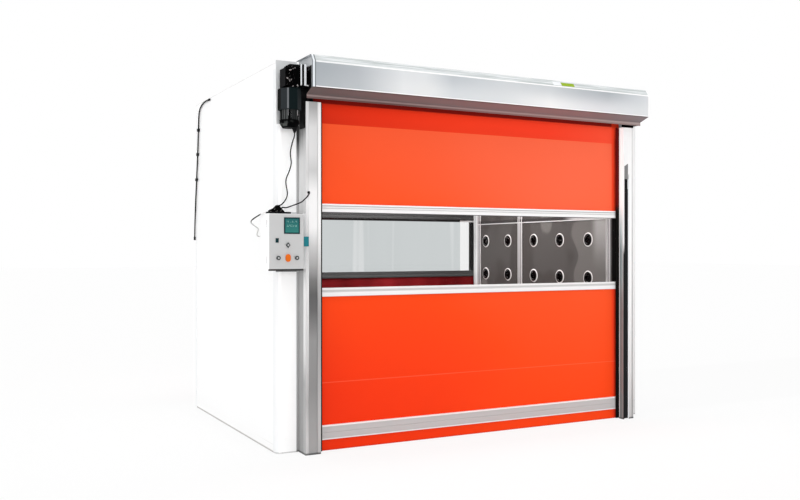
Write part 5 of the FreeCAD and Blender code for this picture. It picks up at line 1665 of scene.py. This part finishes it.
@dataclass
class Cables:
    """The loose cables at the control box and the clipped supply cable."""

    radius: float = 0.004
    motor_route: tuple[Point, ...] = (
        (-1.425, -0.106, 2.041), (-1.425, -0.106, 2.017), (-1.436, -0.105, 1.992), (-1.447, -0.104, 1.949),
        (-1.453, -0.103, 1.917), (-1.449, -0.102, 1.879), (-1.444, -0.101, 1.851), (-1.450, -0.100, 1.822),
        (-1.460, -0.098, 1.790), (-1.474, -0.096, 1.762), (-1.480, -0.095, 1.733), (-1.476, -0.094, 1.701),
        (-1.468, -0.093, 1.670), (-1.468, -0.092, 1.646), (-1.477, -0.091, 1.620), (-1.502, -0.090, 1.588),
        (-1.529, -0.090, 1.576), (-1.552, -0.089, 1.572), (-1.552, -0.089, 1.550),
    )
    sensor_route: tuple[Point, ...] = (
        (-1.508, -0.085, 1.550), (-1.508, -0.085, 1.564), (-1.498, -0.092, 1.570), (-1.480, -0.100, 1.566),
        (-1.454, -0.112, 1.576), (-1.420, -0.130, 1.590), (-1.390, -0.140, 1.603), (-1.372, -0.142, 1.620),
        (-1.352, -0.144, 1.640), (-1.342, -0.147, 1.656), (-1.338, -0.143, 1.666), (-1.338, -0.131, 1.666),
    )
    wall_route: tuple[Point, ...] = (
        (-1.608, -0.088, 1.534), (-1.620, -0.088, 1.534), (-1.632, -0.064, 1.526), (-1.640, -0.020, 1.514),
        (-1.647, 0.020, 1.503), (-1.652, 0.060, 1.490), (-1.646, 0.092, 1.481), (-1.632, 0.122, 1.473),
        (-1.608, 0.155, 1.463), (-1.580, 0.190, 1.452), (-1.554, 0.225, 1.444), (-1.540, 0.256, 1.432),
        (-1.541, 0.284, 1.410), (-1.534, 0.300, 1.392), (-1.520, 0.300, 1.392),
    )

    def line(self, name: str, route: Sequence[Point], radius: float, finish: Finish) -> bpy.types.Object:
        """A smooth curve along a route, in the front door's frame.

        Args:
            name: The cable's name.
            route: Its points.
            radius: Its radius.
            finish: Its finish.

        Returns:
            The curve object.
        """
        curve = bpy.data.curves.new(name, "CURVE")
        curve.dimensions = "3D"
        curve.bevel_depth = radius
        curve.bevel_resolution = 3
        curve.use_fill_caps = True
        spline = curve.splines.new("NURBS")
        spline.points.add(len(route) - 1)
        for point, (x, y, z) in zip(spline.points, route):
            point.co = (x, y - HALF_DEPTH, z, 1.0)
        spline.order_u = 3
        spline.use_endpoint_u = True
        spline.resolution_u = 8
        thing = bpy.data.objects.new(name, curve)
        bpy.context.scene.collection.objects.link(thing)
        curve.materials.append(finish.material())
        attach(thing, "cabin")
        return thing

    def build(self) -> None:
        """Builds the three loose cables and dresses the rest."""
        for name, route, length, finish in (
            ("motor_cable", self.motor_route, 0.545, RUBBER),
            ("sensor_cable", self.sensor_route, 0.245, RUBBER),
            ("wall_cable", self.wall_route, 0.477, WALL_RUBBER),
        ):
            cable = self.line(f"{name}_line", route, self.radius, finish)
            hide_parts(name)
        dress(RUBBER, "supply_cable")
        dress(GLAND_PLASTIC, "cable_glands")


@dataclass
class Studio:
    """Camera, lamps, world and floor."""

    eye: Point = (-3.4527, -6.3946, 1.305)
    yaw: float = 27.671
    pitch: float = -0.036
    lens: float = 40.207
    floor_reach: float = 60.0
    floor_glow: float = 0.85

    def camera(self) -> None:
        """Puts the camera at the photograph's place."""
        data = bpy.data.cameras.new("camera")
        data.sensor_width = 36.0
        data.lens = self.lens
        data.clip_end = 200.0
        thing = bpy.data.objects.new("camera", data)
        thing.location = self.eye
        thing.rotation_euler = (math.radians(90 + self.pitch), 0.0, math.radians(-self.yaw))
        bpy.context.scene.collection.objects.link(thing)
        bpy.context.scene.camera = thing

    def world(self) -> None:
        """White to the camera and in mirrors, a little less as light."""
        world = bpy.data.worlds.new("studio")
        world.use_nodes = True
        tree = world.node_tree
        back = tree.nodes["Background"]
        path = tree.nodes.new("ShaderNodeLightPath")
        seen = tree.nodes.new("ShaderNodeMath")
        seen.operation = "MAXIMUM"
        tree.links.new(path.outputs["Is Camera Ray"], seen.inputs[0])
        tree.links.new(path.outputs["Is Glossy Ray"], seen.inputs[1])
        through = tree.nodes.new("ShaderNodeMath")
        through.operation = "MAXIMUM"
        tree.links.new(seen.outputs[0], through.inputs[0])
        tree.links.new(path.outputs["Is Transmission Ray"], through.inputs[1])
        strength = tree.nodes.new("ShaderNodeMapRange")
        strength.inputs["To Min"].default_value = 0.6
        strength.inputs["To Max"].default_value = 1.0
        tree.links.new(through.outputs[0], strength.inputs["Value"])
        tree.links.new(strength.outputs[0], back.inputs["Strength"])
        back.inputs["Color"].default_value = (1.0, 1.0, 1.0, 1.0)
        bpy.context.scene.world = world

    def lamp(self, name: str, place: Point, aim: Point, size: Flat, watts: float) -> None:
        """A soft rectangular lamp that isn't seen itself."""
        data = bpy.data.lights.new(name, "AREA")
        data.shape = "RECTANGLE"
        data.size, data.size_y = size
        data.energy = watts
        thing = bpy.data.objects.new(name, data)
        thing.location = place
        thing.rotation_euler = (Vector(aim) - Vector(place)).to_track_quat("-Z", "Y").to_euler()
        thing.visible_camera = False
        thing.visible_glossy = False
        bpy.context.scene.collection.objects.link(thing)

    def sun(self, name: str, towards: Point, strength: float, spread: float) -> None:
        """A far lamp: its direction from the object, its strength and its spread in degrees."""
        data = bpy.data.lights.new(name, "SUN")
        data.energy = strength
        data.angle = math.radians(spread)
        thing = bpy.data.objects.new(name, data)
        thing.rotation_euler = Vector(towards).to_track_quat("Z", "Y").to_euler()
        thing.visible_glossy = False
        bpy.context.scene.collection.objects.link(thing)

    def floor(self) -> None:
        """White floor, with painted shade along the cabin's left side."""
        mesh = bpy.data.meshes.new("floor")
        reach = self.floor_reach
        corners = [(-reach, -reach, 0), (reach, -reach, 0), (reach, reach, 0), (-reach, reach, 0)]
        mesh.from_pydata(corners, [], [(0, 1, 2, 3)])
        thing = bpy.data.objects.new("floor", mesh)
        bpy.context.scene.collection.objects.link(thing)
        shader = Shader("studio floor")
        across, depth = shader.axis("X"), shader.axis("Y")
        # Painted shade on the floor along the cabin's left wall.
        painted_shade = across.ramp(-1.72, -1.51) * depth.band(-0.99, 0.95, 0.12)
        grain = shader.noise(0.8, 1.0) * 0.01
        tone = shader.blend(painted_shade * 0.10 + grain, (0.98, 0.98, 0.98), (0.2, 0.2, 0.2))
        shader.set(Base_Color=tone, Roughness=0.8, Specular_IOR_Level=0.0)
        path = shader.tree.nodes.new("ShaderNodeLightPath")
        seen = None
        for name in ("Is Camera Ray", "Is Glossy Ray", "Is Transmission Ray"):
            ray = Wire(shader, path.outputs[name])
            seen = ray if seen is None else seen + ray
        white = shader.node("ShaderNodeEmission", {}, {"Color": (1.0, 1.0, 1.0), "Strength": 1.0})
        share = seen * self.floor_glow
        mixed = shader.node(
            "ShaderNodeMixShader", {}, {0: share, 1: Wire(shader, shader.surface.outputs[0]), 2: white}
        )
        shader.tree.links.new(mixed.socket, shader.tree.nodes["Material Output"].inputs["Surface"])
        mesh.materials.append(shader.material)

    def build(self) -> None:
        """Sets the whole studio up."""
        self.camera()
        self.world()
        self.sun("front light", (-0.25, -1.0, 0.0), 1.38, 30.0)
        self.sun("left light", (-1.0, -0.05, 0.1), 0.95, 40.0)
        self.sun("top light", (0.0, -0.1, 1.0), 0.9, 50.0)
        self.lamp("cabin light", (0.0, 0.0, 2.22), (0.0, 0.0, 0.0), (1.6, 1.4), 60.0)
        self.floor()
        settings = bpy.context.scene.view_settings
        settings.view_transform = "Standard"


def main() -> None:
    """Builds every sub-assembly in order."""
    logging.basicConfig(level=logging.INFO, format="%(message)s")
    Cabin().build()
    RollDoor("front").build()
    RollDoor("rear", raised=0.045).build()
    Drive().build()
    ControlBox().build()
    Cables().build()
    Studio().build()


if __name__ == "__main__":
    main()
